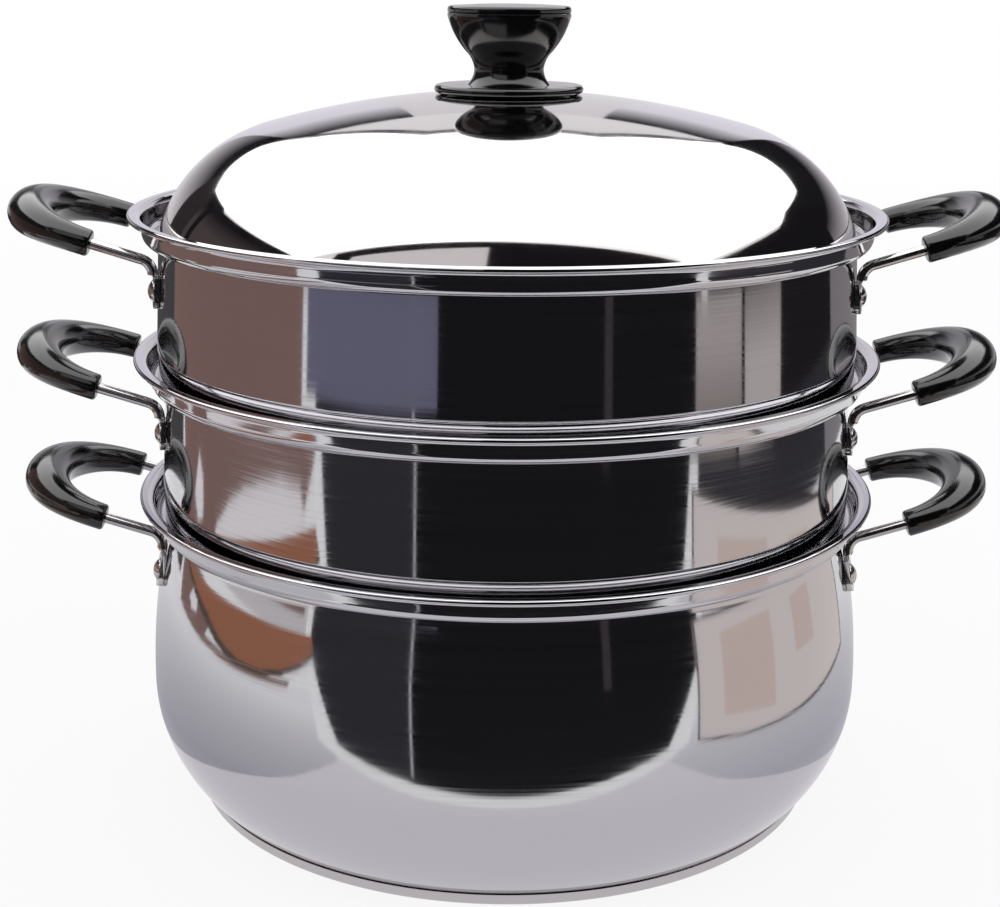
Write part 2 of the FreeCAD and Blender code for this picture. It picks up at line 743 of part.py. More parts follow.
def on_dome(radius, away):
    """Height of a dome of this radius at a distance from the axis."""
    return dome_z + root(radius * radius - away * away)


pad_top = on_dome(dim.lid_dome, dim.lid_pad)
pad_bottom = pad_top - dim.sheet
lid_hole = dim.screw_radius + dim.screw_play
inside_dome = dim.lid_dome - dim.sheet
inside_shoulder = dim.lid_shoulder - dim.sheet
flange_inside = shoulder_x + root(inside_shoulder * inside_shoulder - shoulder_z * shoulder_z)

lid = turned("lid_shell", [
    (flange_inside, 0),
    (flange_radius, 0),
    (flange_radius, dim.sheet),
    (lid_wall, dim.sheet, dim.lid_shoulder, LEFT_TURN),
    (*on_join(dim.lid_dome), dim.lid_dome, LEFT_TURN),
    (dim.lid_pad, pad_top),
    (lid_hole, pad_top),
    (lid_hole, pad_bottom),
    (dim.lid_pad, pad_bottom, inside_dome, RIGHT_TURN),
    (*on_join(inside_dome), inside_shoulder, RIGHT_TURN),
])
keep(lid, "lid_shell")
lid_seat = upper_lip - dim.collar_depth
raise_by(lid, lid_seat)


# Knob: skirt, waist and bell, with a threaded insert, and a screw and washer from under the lid

knob_seat = lid_seat + pad_top
top_edge = dim.knob_height - dim.knob_crown
band_top = top_edge - dim.knob_edge
band_bottom = top_edge - dim.knob_band
crown_reach = dim.knob_radius - dim.knob_edge
crown_curve = cap_curve(crown_reach, dim.knob_crown)
skirt_inside = dim.skirt_radius - dim.skirt_wall
skirt_bottom = on_dome(dim.lid_dome, skirt_inside) - pad_top + dim.skirt_gap
skirt_top = skirt_bottom + dim.skirt_edge
half_skirt = dim.skirt_edge / 2
insert_hole = dim.insert_radius + dim.insert_play
knob = turned("knob", [
    (insert_hole, 0),
    (dim.boss_radius, 0),
    (dim.boss_radius, dim.hollow_depth),
    (skirt_inside, dim.hollow_depth),
    (skirt_inside, skirt_bottom),
    (dim.skirt_radius - half_skirt, skirt_bottom, half_skirt, LEFT_TURN),
    (dim.skirt_radius, skirt_bottom + half_skirt, half_skirt, LEFT_TURN),
    (dim.skirt_radius - half_skirt, skirt_top),
    (dim.knob_waist + dim.skirt_spread, skirt_top, dim.skirt_curve, RIGHT_TURN),
    (dim.knob_waist, dim.waist_height, dim.waist_curve, RIGHT_TURN),
    (dim.knob_waist + dim.waist_spread, dim.waist_height + dim.waist_rise, dim.bell_curve, LEFT_TURN),
    (dim.knob_radius, band_bottom),
    (dim.knob_radius, band_top, dim.knob_edge, LEFT_TURN),
    (crown_reach, top_edge, crown_curve, LEFT_TURN),
    (0, dim.knob_height),
    (0, dim.insert_length + dim.insert_play),
    (insert_hole, dim.insert_length + dim.insert_play),
])
keep(knob, "knob")
raise_by(knob, knob_seat)

thread_hole = dim.screw_radius + dim.screw_play
insert = turned("knob_insert", [
    (thread_hole, 0),
    (dim.insert_radius, 0),
    (dim.insert_radius, dim.insert_length),
    (thread_hole, dim.insert_length),
])
keep(insert, "knob_insert")
raise_by(insert, knob_seat)

washer_top = dim.sheet * -1
washer_bottom = washer_top - dim.washer_thickness
washer = turned("knob_washer", [
    (thread_hole, washer_bottom),
    (dim.washer_radius, washer_bottom),
    (dim.washer_radius, washer_top),
    (thread_hole, washer_top),
])
keep(washer, "knob_washer")
raise_by(washer, knob_seat)

head_bottom = washer_bottom - dim.screw_head_height
screw_end = dim.insert_length - dim.screw_spare
screw = turned("knob_screw", [
    (0, head_bottom, cap_curve(dim.screw_head, dim.screw_head_height), LEFT_TURN),
    (dim.screw_head, washer_bottom),
    (dim.screw_radius, washer_bottom),
    (dim.screw_radius, screw_end),
    (0, screw_end),
])
slot = outline(screw, "knob_screw_slot", "XZ_Plane", [
    (dim.slot_width / -2, head_bottom - dim.slot_depth),
    (dim.slot_width / 2, head_bottom - dim.slot_depth),
    (dim.slot_width / 2, head_bottom + dim.slot_depth),
    (dim.slot_width / -2, head_bottom + dim.slot_depth),
])
slot_cut = screw.newObject("PartDesign::Pocket", "knob_screw_slot_cut")
slot_cut.Profile = slot
slot_cut.Type = "ThroughAll"
slot_cut.Midplane = True
screw.Tip = slot_cut
keep(screw, "knob_screw")
raise_by(screw, knob_seat)


# Check every object, then write one file for each sub-part

doc.recompute()
for item in doc.Objects:
    if "Invalid" in item.State or "Error" in item.State:
        raise RuntimeError(f"{item.Label}: {item.State}")
for item in nodes:
    if item.Shape.isNull() or not item.Shape.isValid() or not item.Shape.Solids:
        raise RuntimeError(f"{item.Label}: no valid solid")

os.makedirs("parts", exist_ok=True)
for item in nodes:
    item.Shape.exportStep(f"parts/{item.Label}.step")
    print(item.Label, len(item.Shape.Solids), round(item.Shape.Volume, 1))
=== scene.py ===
# %% [markdown]
# # A three-tier stainless steel steamer
# This lesson dresses a finished CAD model of a steamer: a bellied pot, two steamer tiers that nest in the
# collar below them, a domed lid, a knob, and black grips on bent wire. The CAD model gives every size and
# every joint. Blender gives the polished skins, the finishes, the light and the camera. The model is
# loaded first. Nothing that is made here may change the object's size.

# %% Load the CAD model
import math

import bmesh
import bpy
from mathutils import Euler, Matrix, Vector


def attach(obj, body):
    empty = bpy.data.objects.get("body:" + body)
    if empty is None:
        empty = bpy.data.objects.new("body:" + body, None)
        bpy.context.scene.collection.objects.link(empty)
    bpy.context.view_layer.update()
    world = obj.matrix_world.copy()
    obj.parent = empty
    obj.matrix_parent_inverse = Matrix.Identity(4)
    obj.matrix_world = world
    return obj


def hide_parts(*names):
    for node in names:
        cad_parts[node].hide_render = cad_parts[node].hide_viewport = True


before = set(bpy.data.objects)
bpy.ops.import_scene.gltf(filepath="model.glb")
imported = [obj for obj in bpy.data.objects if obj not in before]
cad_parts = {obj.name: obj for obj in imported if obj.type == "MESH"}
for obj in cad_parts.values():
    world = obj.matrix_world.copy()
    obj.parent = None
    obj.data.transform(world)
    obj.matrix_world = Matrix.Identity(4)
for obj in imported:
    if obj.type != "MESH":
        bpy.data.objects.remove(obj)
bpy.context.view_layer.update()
bpy.context.scene.view_settings.view_transform = "Standard"
MM = 0.001

# %% [markdown]
# ## The camera
# A product photographer stands close and a little above the lid, so the rims show as ovals that open
# towards us. The place and the lens were worked out from the ovals of the rims. The small shift moves the
# frame sideways, as the picture is not quite centred on the pot, and the small roll is that of a camera
# held by hand.

# %% Camera
CAMERA_PLACE = (0.0, -0.715, 0.3368)
CAMERA_PITCH = 15.53
CAMERA_LENS = 63.25
CAMERA_SHIFT = -0.006
CAMERA_ROLL = 0.45

pitched = Euler((math.radians(90 - CAMERA_PITCH), 0, 0)).to_matrix()
hand_held = pitched @ Matrix.Rotation(math.radians(CAMERA_ROLL), 3, "Z")
bpy.ops.object.select_all(action="DESELECT")
bpy.ops.object.camera_add(location=CAMERA_PLACE, rotation=hand_held.to_euler())
camera = bpy.context.object
camera.data.lens = CAMERA_LENS
camera.data.shift_x = CAMERA_SHIFT
bpy.context.scene.camera = camera
print("camera", CAMERA_PLACE, "lens", CAMERA_LENS)

# %% [markdown]
# ## Sections of the turned pieces
# Pot, tiers, lid and knob are spun on a lathe or drawn round, so each is one half section turned about
# the upright axis. A section is written here as points in millimetres, as radius and height. A point with
# four values starts an arc: its radius, and whether it turns left or right. The tracer below turns this
# into a fine line. It also puts a point close to each end of a straight run. Without these, the smooth
# shading would bend the mirror image of a straight wall all the way along.

# %% Trace a section
LEFT = 1
RIGHT = -1
ARC_STEP = math.radians(3.0)
ARC_LENGTH = 3.0
HOLD = 0.25


def arc_points(start, end, radius, turn):
    """Points after start, up to the end, on an arc of less than half a circle."""
    chord = end - start
    normal = Vector((-chord.y, chord.x)) * (turn / chord.length)
    centre = (start + end) / 2 + normal * math.sqrt(max(radius ** 2 - (chord.length / 2) ** 2, 0))
    first = math.atan2(start.y - centre.y, start.x - centre.x)
    sweep = 2 * math.asin(min(chord.length / 2 / radius, 1.0)) * turn
    steps = max(3, math.ceil(abs(sweep) / ARC_STEP), math.ceil(abs(sweep) * radius / ARC_LENGTH))
    angles = [first + sweep * step / steps for step in range(1, steps + 1)]
    return [centre + Vector((math.cos(angle), math.sin(angle))) * radius for angle in angles]


def straight_points(start, end):
    """The end of a straight run, with a point close to each end when the run is long enough."""
    run = end - start
    if run.length < 4 * HOLD:
        return [end]
    near = run.normalized() * HOLD
    return [start + near, end - near, end]


def traced(section, closed):
    places = [Vector(point[:2]) for point in section]
    line = [places[0]]
    for index, point in enumerate(section if closed else section[:-1]):
        start, end = places[index], places[(index + 1) % len(places)]
        line += straight_points(start, end) if len(point) == 2 else arc_points(start, end, point[2], point[3])
    return line[:-1] if closed else line


def cap_curve(reach, rise):
    """Radius of an arc that rises over a reach from its edge to its level top."""
    return (reach ** 2 + rise ** 2) / (2 * rise)


# %% [markdown]
# ## Spinning a section
# By hand this is a vertex that is extruded along the section and then spun. The script does the same: a
# small plane is merged to one vertex, the vertex is extruded from point to point, and the line is spun
# through a full turn. The seam and the points on the axis are then merged, and the normals are turned
# outwards.

# %% Spin a section
TURN_STEPS = 256
MERGE = 1e-6
SHARP = math.radians(32)


def smooth(piece):
    bpy.ops.object.mode_set(mode="OBJECT")
    bpy.ops.object.shade_smooth_by_angle(angle=SHARP)
    return piece


def spun(name, section, closed, steps=TURN_STEPS):
    points = [Vector((point.x, 0, point.y)) * MM for point in traced(section, closed)]
    bpy.ops.object.select_all(action="DESELECT")
    bpy.ops.mesh.primitive_plane_add(size=MM)
    piece = bpy.context.object
    piece.name = name
    bpy.ops.object.mode_set(mode="EDIT")
    bpy.ops.mesh.select_mode(type="VERT")
    bpy.ops.mesh.select_all(action="SELECT")
    bpy.ops.mesh.merge(type="CENTER")
    bpy.ops.transform.translate(value=points[0])
    for start, end in zip(points, points[1:]):
        bpy.ops.mesh.extrude_region_move(TRANSFORM_OT_translate={"value": end - start})
    if closed:
        mesh = bmesh.from_edit_mesh(piece.data)
        mesh.verts.ensure_lookup_table()
        mesh.verts[0].select_set(True)
        bmesh.update_edit_mesh(piece.data)
        bpy.ops.mesh.edge_face_add()
    bpy.ops.mesh.select_all(action="SELECT")
    bpy.ops.mesh.spin(steps=steps, angle=math.tau, center=(0, 0, 0), axis=(0, 0, 1))
    bpy.ops.mesh.select_all(action="SELECT")
    bpy.ops.mesh.remove_doubles(threshold=MERGE)
    bpy.ops.mesh.normals_make_consistent(inside=False)
    smooth(piece)
    print(name, len(piece.data.polygons), "faces")
    return piece


def dress(piece, body, slot, *nodes):
    """Lets a piece ride on its body and stand for its CAD nodes, which are hidden. The slot is not used."""
    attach(piece, body)
    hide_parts(*nodes)
    return piece


# %% [markdown]
# ## The rim
# Pot and tiers share one rim: a neck, a flat seat that carries the next tier, a wide bend up into an
# upright collar, and a lip that curls out to a hemmed edge. It is the busiest line of the photograph,
# with a bright stripe for each bend, so each bend is a true arc.

# %% Rim sizes
SHEET = 0.7
LIP_RADIUS, LIP_WIDTH, LIP_EDGE, LIP_ROLL = 152.0, 5.9, 2.0, 3.2
COLLAR_DEPTH, COLLAR_FLARE = 10.8, 0.3
SEAT_WIDTH, SEAT_BEND, NECK_BEND = 6.3, 4.2, 0.3

mouth = LIP_RADIUS - LIP_WIDTH
seat = mouth - COLLAR_FLARE
seat_flat = seat + SHEET - SEAT_BEND
neck_inside = seat - SEAT_WIDTH
neck = neck_inside + SHEET
neck_drop = COLLAR_DEPTH + SHEET + NECK_BEND


def rim(top):
    """Section of the rim from the outside of the neck, round the lip, to the inside of the neck."""
    on_seat = top - COLLAR_DEPTH
    under_seat = on_seat - SHEET
    under_lip = top - LIP_EDGE
    half = LIP_EDGE / 2
    outer_curl = LIP_ROLL - SHEET
    inner_bend = SEAT_BEND - SHEET
    return [
        (neck, under_seat - NECK_BEND, NECK_BEND, RIGHT),
        (neck + NECK_BEND, under_seat),
        (seat_flat, under_seat, SEAT_BEND, LEFT),
        (seat + SHEET, under_seat + SEAT_BEND),
        (mouth + SHEET, under_lip - outer_curl, outer_curl, RIGHT),
        (mouth + LIP_ROLL, under_lip),
        (LIP_RADIUS - half, under_lip, half, LEFT),
        (LIP_RADIUS, top - half, half, LEFT),
        (LIP_RADIUS - half, top),
        (mouth + LIP_ROLL, top, LIP_ROLL, LEFT),
        (mouth, top - LIP_ROLL),
        (seat, on_seat + inner_bend, inner_bend, RIGHT),
        (seat_flat, on_seat),
        (neck + NECK_BEND, on_seat, NECK_BEND + SHEET, LEFT),
    ]


print("rim: lip", LIP_RADIUS, "seat", seat, "neck", neck)

# %% [markdown]
# ## Pot
# The pot is drawn from one sheet: a flat bottom, a belly of two arcs that meet upright at the widest
# place, and the rim. A thin steel cup closes the base under it and leaves the fine dark seam that runs
# round the foot.

# %% Pot and base cup
POT_HEIGHT, BELLY_BULGE, BELLY_HEIGHT, BASE_STEP = 128.0, 8.9, 48.0, 19.1
CORE, CUP_SHEET, CUP_GAP, CUP_LAP, CUP_BEND = 3.5, 0.5, 0.2, 0.6, 2.0

belly = neck + BELLY_BULGE
base = belly - BASE_STEP
bottom = CUP_SHEET + CORE
neck_height = POT_HEIGHT - neck_drop
lower_rise = BELLY_HEIGHT - bottom
lower_curve = cap_curve(lower_rise, BASE_STEP)
upper_rise = neck_height - BELLY_HEIGHT
inside_base = base - SHEET / 2
inside_belly = belly - SHEET
pot_shell = spun("pot_shell", [
    (0, bottom),
    (base, bottom, lower_curve, LEFT),
    (belly, BELLY_HEIGHT, cap_curve(upper_rise, BELLY_BULGE), LEFT),
    *rim(POT_HEIGHT),
    (neck_inside, neck_height, cap_curve(upper_rise, BELLY_BULGE), RIGHT),
    (inside_belly, BELLY_HEIGHT, cap_curve(lower_rise - SHEET, inside_belly - inside_base), RIGHT),
    (inside_base, bottom + SHEET),
    (0, bottom + SHEET),
], closed=False)
dress(pot_shell, "pot", "polished_steel", "pot_body")

cup_inside = base + CUP_LAP * lower_rise / (lower_curve - BASE_STEP) + CUP_GAP
cup = cup_inside + CUP_SHEET
base_cup = spun("base_cup", [
    (0, 0),
    (cup - CUP_BEND, 0, CUP_BEND, LEFT),
    (cup, CUP_BEND),
    (cup, bottom + CUP_LAP),
    (cup_inside, bottom + CUP_LAP),
    (cup_inside, CUP_BEND, CUP_BEND - CUP_SHEET, RIGHT),
    (cup - CUP_BEND, CUP_SHEET),
    (0, CUP_SHEET),
], closed=False)
dress(base_cup, "pot", "base_steel", "pot_base_cap")

# %% [markdown]
# ## Steamer tiers
# Both tiers are the same ring: the rim, a wall that widens a little, a small crease, and a foot that
# turns in under the perforated floor. One section is spun twice, each time at its own height.

# %% Steamer tiers
TIER_PITCH, TIER_SPREAD = 57.25, 2.2
CREASE_HEIGHT, CREASE_DROP, CREASE_STEP = 3.35, 0.9, 0.4
FOOT_CLEARANCE, FOOT_BEND, FOOT_FLANGE = 0.2, 0.5, 12.0


def tier_section(stand):
    crease = neck + TIER_SPREAD
    foot = seat_flat - FOOT_CLEARANCE
    foot_bottom = stand - COLLAR_DEPTH
    under = stand + CREASE_HEIGHT - CREASE_DROP
    return [
        (foot - FOOT_FLANGE, foot_bottom),
        (foot - FOOT_BEND, foot_bottom, FOOT_BEND, LEFT),
        (foot, foot_bottom + FOOT_BEND),
        (crease - CREASE_STEP, under),
        (crease, stand + CREASE_HEIGHT),
        *rim(stand + TIER_PITCH),
        (neck_inside, stand + TIER_PITCH - neck_drop),
        (crease - SHEET, stand + CREASE_HEIGHT),
        (crease - CREASE_STEP - SHEET, under),
        (foot - SHEET, foot_bottom + SHEET),
        (foot - FOOT_FLANGE, foot_bottom + SHEET),
    ]


tier_shells = []
for place, tier in enumerate(("lower_steamer", "upper_steamer")):
    shell = spun(tier + "_shell", tier_section(POT_HEIGHT + place * TIER_PITCH), closed=True)
    tier_shells.append(dress(shell, tier, "polished_steel", tier + "_wall"))

# %% [markdown]
# ## Lid
# The lid is a steep wall that rolls over a shoulder into a shallow dome. Shoulder and dome meet tangent
# to each other, or the mirror image would break there. A small flat in the middle carries the knob.

# %% Lid
LID_DOME, LID_SHOULDER, LID_DRAFT = 365.0, 62.0, math.radians(16.0)
LID_PLAY, LID_FLANGE, LID_PAD, SCREW_HOLE = 0.1, 1.4, 9.0, 2.6

lid_seat = POT_HEIGHT + 2 * TIER_PITCH - COLLAR_DEPTH
flange = seat_flat - LID_PLAY
lid_wall = flange - LID_FLANGE
shoulder_x = lid_wall - LID_SHOULDER * math.cos(LID_DRAFT)
shoulder_z = lid_seat + SHEET - LID_SHOULDER * math.sin(LID_DRAFT)
share = LID_DOME - LID_SHOULDER
dome_z = shoulder_z - math.sqrt(share ** 2 - shoulder_x ** 2)


def on_join(radius):
    """Where shoulder and dome meet, on a face with this dome radius."""
    return shoulder_x * radius / share, dome_z + (shoulder_z - dome_z) * radius / share


def on_dome(away):
    return dome_z + math.sqrt(LID_DOME ** 2 - away ** 2)


pad_top = on_dome(LID_PAD)
inside_shoulder = LID_SHOULDER - SHEET
flange_inside = shoulder_x + math.sqrt(inside_shoulder ** 2 - (lid_seat - shoulder_z) ** 2)
lid_dome = spun("lid_dome", [
    (flange_inside, lid_seat),
    (flange, lid_seat),
    (flange, lid_seat + SHEET),
    (lid_wall, lid_seat + SHEET, LID_SHOULDER, LEFT),
    (*on_join(LID_DOME), LID_DOME, LEFT),
    (LID_PAD, pad_top),
    (SCREW_HOLE, pad_top),
    (SCREW_HOLE, pad_top - SHEET),
    (LID_PAD, pad_top - SHEET, LID_DOME - SHEET, RIGHT),
    (*on_join(LID_DOME - SHEET), inside_shoulder, RIGHT),
], closed=True)
dress(lid_dome, "lid", "polished_steel", "lid_shell")

# %% [markdown]
# ## Knob
# The knob is a phenolic moulding with a bell, a waist and a skirt. Its top is a separate pressing on the
# real knob, so a fine groove runs round the band under the top edge.

# %% Knob
KNOB_HEIGHT, KNOB_RADIUS, KNOB_BAND, KNOB_CROWN, KNOB_EDGE = 34.0, 24.5, 4.0, 0.8, 1.4
KNOB_WAIST, WAIST_HEIGHT, WAIST_CURVE, WAIST_RISE, WAIST_SPREAD = 13.9, 9.0, 11.0, 5.2, 2.0
BELL_CURVE, SKIRT_RADIUS, SKIRT_EDGE, SKIRT_GAP = 34.0, 29.8, 3.4, 0.32
SKIRT_CURVE, SKIRT_SPREAD, SKIRT_WALL = 8.0, 2.7, 2.4
HOLLOW, BOSS_RADIUS, INSERT_HOLE, INSERT_DEPTH = 1.2, 8.4, 4.6, 14.1
GROOVE, GROOVE_DROP = 0.35, 2.6

top_edge = pad_top + KNOB_HEIGHT - KNOB_CROWN
knob_reach = KNOB_RADIUS - KNOB_EDGE
skirt_inside = SKIRT_RADIUS - SKIRT_WALL
skirt_bottom = on_dome(skirt_inside) + SKIRT_GAP
half_skirt = SKIRT_EDGE / 2
groove_z = top_edge - GROOVE_DROP
knob_moulding = spun("knob_moulding", [
    (INSERT_HOLE, pad_top),
    (BOSS_RADIUS, pad_top),
    (BOSS_RADIUS, pad_top + HOLLOW),
    (skirt_inside, pad_top + HOLLOW),
    (skirt_inside, skirt_bottom),
    (SKIRT_RADIUS - half_skirt, skirt_bottom, half_skirt, LEFT),
    (SKIRT_RADIUS, skirt_bottom + half_skirt, half_skirt, LEFT),
    (SKIRT_RADIUS - half_skirt, skirt_bottom + SKIRT_EDGE),
    (KNOB_WAIST + SKIRT_SPREAD, skirt_bottom + SKIRT_EDGE, SKIRT_CURVE, RIGHT),
    (KNOB_WAIST, pad_top + WAIST_HEIGHT, WAIST_CURVE, RIGHT),
    (KNOB_WAIST + WAIST_SPREAD, pad_top + WAIST_HEIGHT + WAIST_RISE, BELL_CURVE, LEFT),
    (KNOB_RADIUS, top_edge - KNOB_BAND),
    (KNOB_RADIUS, groove_z - GROOVE),
    (KNOB_RADIUS - GROOVE, groove_z),
    (KNOB_RADIUS, groove_z + GROOVE),
    (KNOB_RADIUS, top_edge - KNOB_EDGE, KNOB_EDGE, LEFT),
    (knob_reach, top_edge, cap_curve(knob_reach, KNOB_CROWN), LEFT),
    (0, pad_top + KNOB_HEIGHT),
    (0, pad_top + INSERT_DEPTH),
    (INSERT_HOLE, pad_top + INSERT_DEPTH),
], closed=True, steps=128)
dress(knob_moulding, "lid", "black_phenolic", "knob")

# %% [markdown]
# ## Grips
# A grip is a moulded loop: slim round legs that swell into a wide crown whose oval leans outwards. It
# starts as a disc at the bottom of one leg's bore. The disc is extruded from ring to ring: up the bore,
# over the leg's rounded end, round the loop, and down the other bore. Each new ring is laid on the oval
# of its place. One grip is modelled and copied to six places.

# %% Rings of a grip
HANDLE_REACH, GRIP_LENGTH, GRIP_LEG, LEG_ROUND = 50.0, 40.6, 10.6, 1.2
CROWN_WIDTH, CROWN_HEIGHT, CROWN_DROOP, CROWN_FLAT = 19.0, 17.5, 0.8, 13.0
CROWN_ROLL, ROD_SLOPE = math.radians(18.0), math.radians(17.0)
BORE_RADIUS, BORE_DEPTH = 2.22, 6.0
RING_POINTS, STATIONS, END_STEPS = 48, 48, 5

leg_end = LIP_RADIUS + HANDLE_REACH - GRIP_LENGTH
quarter_reach = GRIP_LENGTH - CROWN_WIDTH / 2
half_span = quarter_reach / math.cos(ROD_SLOPE) + CROWN_FLAT / 2
run = Vector((math.cos(ROD_SLOPE), 0, math.sin(ROD_SLOPE)))
UP = Vector((0, 0, 1))


def grip_ring(angle):
    """The grip's oval at an angle round its loop, from 0 at one leg's end to half a turn at the other."""
    swell = math.sin(angle) ** 2
    rise = math.tan(ROD_SLOPE)
    along = quarter_reach * math.sin(angle)
    outward = quarter_reach * math.cos(angle)
    place = Vector((leg_end + along, half_span * math.cos(angle), along * rise - CROWN_DROOP * swell))
    heading = Vector((outward, -half_span * math.sin(angle), outward * rise)).normalized()
    sideways = UP.cross(heading).normalized()
    upright = (UP - heading * heading.z).normalized()
    roll = CROWN_ROLL * swell
    half_width = (GRIP_LEG + (CROWN_WIDTH - GRIP_LEG) * swell) / 2
    half_height = (GRIP_LEG + (CROWN_HEIGHT - GRIP_LEG) * swell) / 2
    wide = (sideways * math.cos(roll) - upright * math.sin(roll)) * half_width
    tall = (upright * math.cos(roll) + sideways * math.sin(roll)) * half_height
    turns = [math.tau * point / RING_POINTS for point in range(RING_POINTS)]
    return [place + wide * math.cos(turn) + tall * math.sin(turn) for turn in turns]


def leg_rings(angle):
    """Rings from the bottom of a leg's bore to its mouth, and over the leg's rounded end."""
    flat = GRIP_LEG / 2 - LEG_ROUND
    steps = [(BORE_DEPTH, BORE_RADIUS), (0, BORE_RADIUS)]
    for step in range(END_STEPS + 1):
        turn = math.pi / 2 * step / END_STEPS
        steps.append((LEG_ROUND * (1 - math.cos(turn)), flat + LEG_ROUND * math.sin(turn)))
    oval = grip_ring(angle)
    middle = sum(oval, Vector()) / RING_POINTS
    return [[middle + run * depth + (point - middle).normalized() * radius for point in oval]
            for depth, radius in steps]


loop_rings = [grip_ring(math.pi * station / STATIONS) for station in range(2, STATIONS - 1)]
rings = leg_rings(0) + loop_rings + leg_rings(math.pi)[::-1]
print("grip:", len(rings), "rings, span", round(2 * half_span, 1), "mm")

# %% Model one grip


def lay_ring(piece, points):
    """Moves the selected ring to its points, each vertex by its own order in the ring."""
    mesh = bmesh.from_edit_mesh(piece.data)
    mesh.verts.index_update()
    ring = [vert for vert in mesh.verts if vert.select]
    for vert, point in zip(ring, points):
        vert.co = point * MM
    bmesh.update_edit_mesh(piece.data)


bpy.ops.object.select_all(action="DESELECT")
bpy.ops.mesh.primitive_circle_add(vertices=RING_POINTS, radius=BORE_RADIUS * MM, fill_type="NGON")
grip_model = bpy.context.object
grip_model.name = "grip_model"
bpy.ops.object.mode_set(mode="EDIT")
bpy.ops.mesh.select_mode(type="FACE")
lay_ring(grip_model, rings[0])
for ring in rings[1:]:
    bpy.ops.mesh.extrude_region_move()
    lay_ring(grip_model, ring)
bpy.ops.mesh.select_all(action="SELECT")
bpy.ops.mesh.normals_make_consistent(inside=False)
smooth(grip_model)
print("grip", len(grip_model.data.polygons), "faces")

# %% [markdown]
# The legs of a tier's grips end lower than those of the pot, because the pot's wires leave its belly at a
# steeper place. Each copy gets its own mesh and its place in that mesh, so that patterns on it stay put.

# %% Copy the grip to its six places
POT_LEG_DROP, TIER_LEG_DROP = 7.2, 10.6
LEVELS = {
    "pot": POT_HEIGHT - POT_LEG_DROP,
    "lower_steamer": POT_HEIGHT + TIER_PITCH - TIER_LEG_DROP,
    "upper_steamer": POT_HEIGHT + 2 * TIER_PITCH - TIER_LEG_DROP,
}
HANDLE_SIDES = {"right": 0.0, "left": math.pi}
grips = []
for tier, height in LEVELS.items():
    for side, turn in HANDLE_SIDES.items():
        bpy.ops.object.select_all(action="DESELECT")
        grip_model.select_set(True)
        bpy.context.view_layer.objects.active = grip_model
        bpy.ops.object.duplicate()
        grip = bpy.context.object
        grip.name = f"{tier}_{side}_grip_moulding"
        grip.rotation_euler = (0, 0, turn)
        grip.location = (0, 0, height * MM)
        bpy.ops.object.transform_apply(location=True, rotation=True, scale=True)
        grips.append(dress(grip, tier, "black_phenolic", f"{tier}_{side}_grip"))
bpy.data.objects.remove(grip_model)
print(len(grips), "grips")

# %% [markdown]
# ## Wires, rivets, floors and fasteners
# These have their true shape in the CAD model already. Its meshes are loose triangles, which would show
# as facets on bright steel. So each is copied, the copy's triangles are merged, and the copy is shaded
# smooth up to a sharp edge.

# %% Smooth copies of the small steel pieces


def smooth_copy(node, body, slot):
    bpy.ops.object.select_all(action="DESELECT")
    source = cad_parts[node]
    source.select_set(True)
    bpy.context.view_layer.objects.active = source
    bpy.ops.object.duplicate()
    piece = bpy.context.object
    piece.name = node + "_bright"
    for key in list(piece.keys()):
        del piece[key]
    piece.parent = None
    bpy.ops.object.mode_set(mode="EDIT")
    bpy.ops.mesh.select_all(action="SELECT")
    bpy.ops.mesh.remove_doubles(threshold=MERGE)
    smooth(piece)
    return dress(piece, body, slot, node)


rods, rivets, floors = [], [], []
for tier in LEVELS:
    for side in HANDLE_SIDES:
        rods.append(smooth_copy(f"{tier}_{side}_rod", tier, "rod_steel"))
        rivets.append(smooth_copy(f"{tier}_{side}_rivets", tier, "fastener_steel"))
    if tier != "pot":
        floors.append(smooth_copy(tier + "_floor", tier, "floor_steel"))
fasteners = [smooth_copy(node, "lid", "fastener_steel") for node in ("knob_washer", "knob_screw")]
print(len(rods), "wires,", len(rivets), "pairs of rivets,", len(floors), "floors,",
      len(fasteners), "fasteners")

# %% [markdown]
# ## Finishes
# Each finish starts from what the real surface is and how it was made. Colours are written as sRGB hex
# values and turned to linear here. Patterns are worked out from real sizes in millimetres. One small
# function adds a node with its settings and its links.

# %% Node and colour helpers
# Most values of a noise texture lie in this span.
NOISE_SPAN = {"From Min": 0.3, "From Max": 0.7}


def linear(code):
    """An sRGB hex value as linear red, green, blue and alpha."""
    parts = [int(code[place:place + 2], 16) / 255 for place in (0, 2, 4)]
    return (*[part / 12.92 if part <= 0.04045 else ((part + 0.055) / 1.055) ** 2.4 for part in parts], 1.0)


def per_mm(size):
    """Texture scale at which one feature measures this many millimetres."""
    return 1 / (size * MM)


def add_node(tree, kind, sockets=None, **settings):
    made = tree.nodes.new(kind)
    for name, value in settings.items():
        setattr(made, name, value)
    for name, value in (sockets or {}).items():
        if isinstance(value, bpy.types.NodeSocket):
            tree.links.new(value, made.inputs[name])
        else:
            made.inputs[name].default_value = value
    return made


def new_material(name):
    material = bpy.data.materials.new(name)
    material.use_nodes = True
    return material, material.node_tree, material.node_tree.nodes["Principled BSDF"]


def paint(material, *pieces):
    for piece in pieces:
        piece.data.materials.clear()
        piece.data.materials.append(material)
    print(material.name, "on", len(pieces), "pieces")


# %% [markdown]
# ### Hairline-polished stainless steel
# The walls are buffed on a lathe, which leaves hairlines that run round the wall. The eye sees a mirror
# whose image is drawn out upright, and faint level lines where light catches them. The anisotropy of the
# shader draws the image out: its tangent runs round the wall, and a quarter turn sets it upright. The
# lines are real at about a tenth of a millimetre. They are drawn coarser here, so that they show at the
# size of the picture.

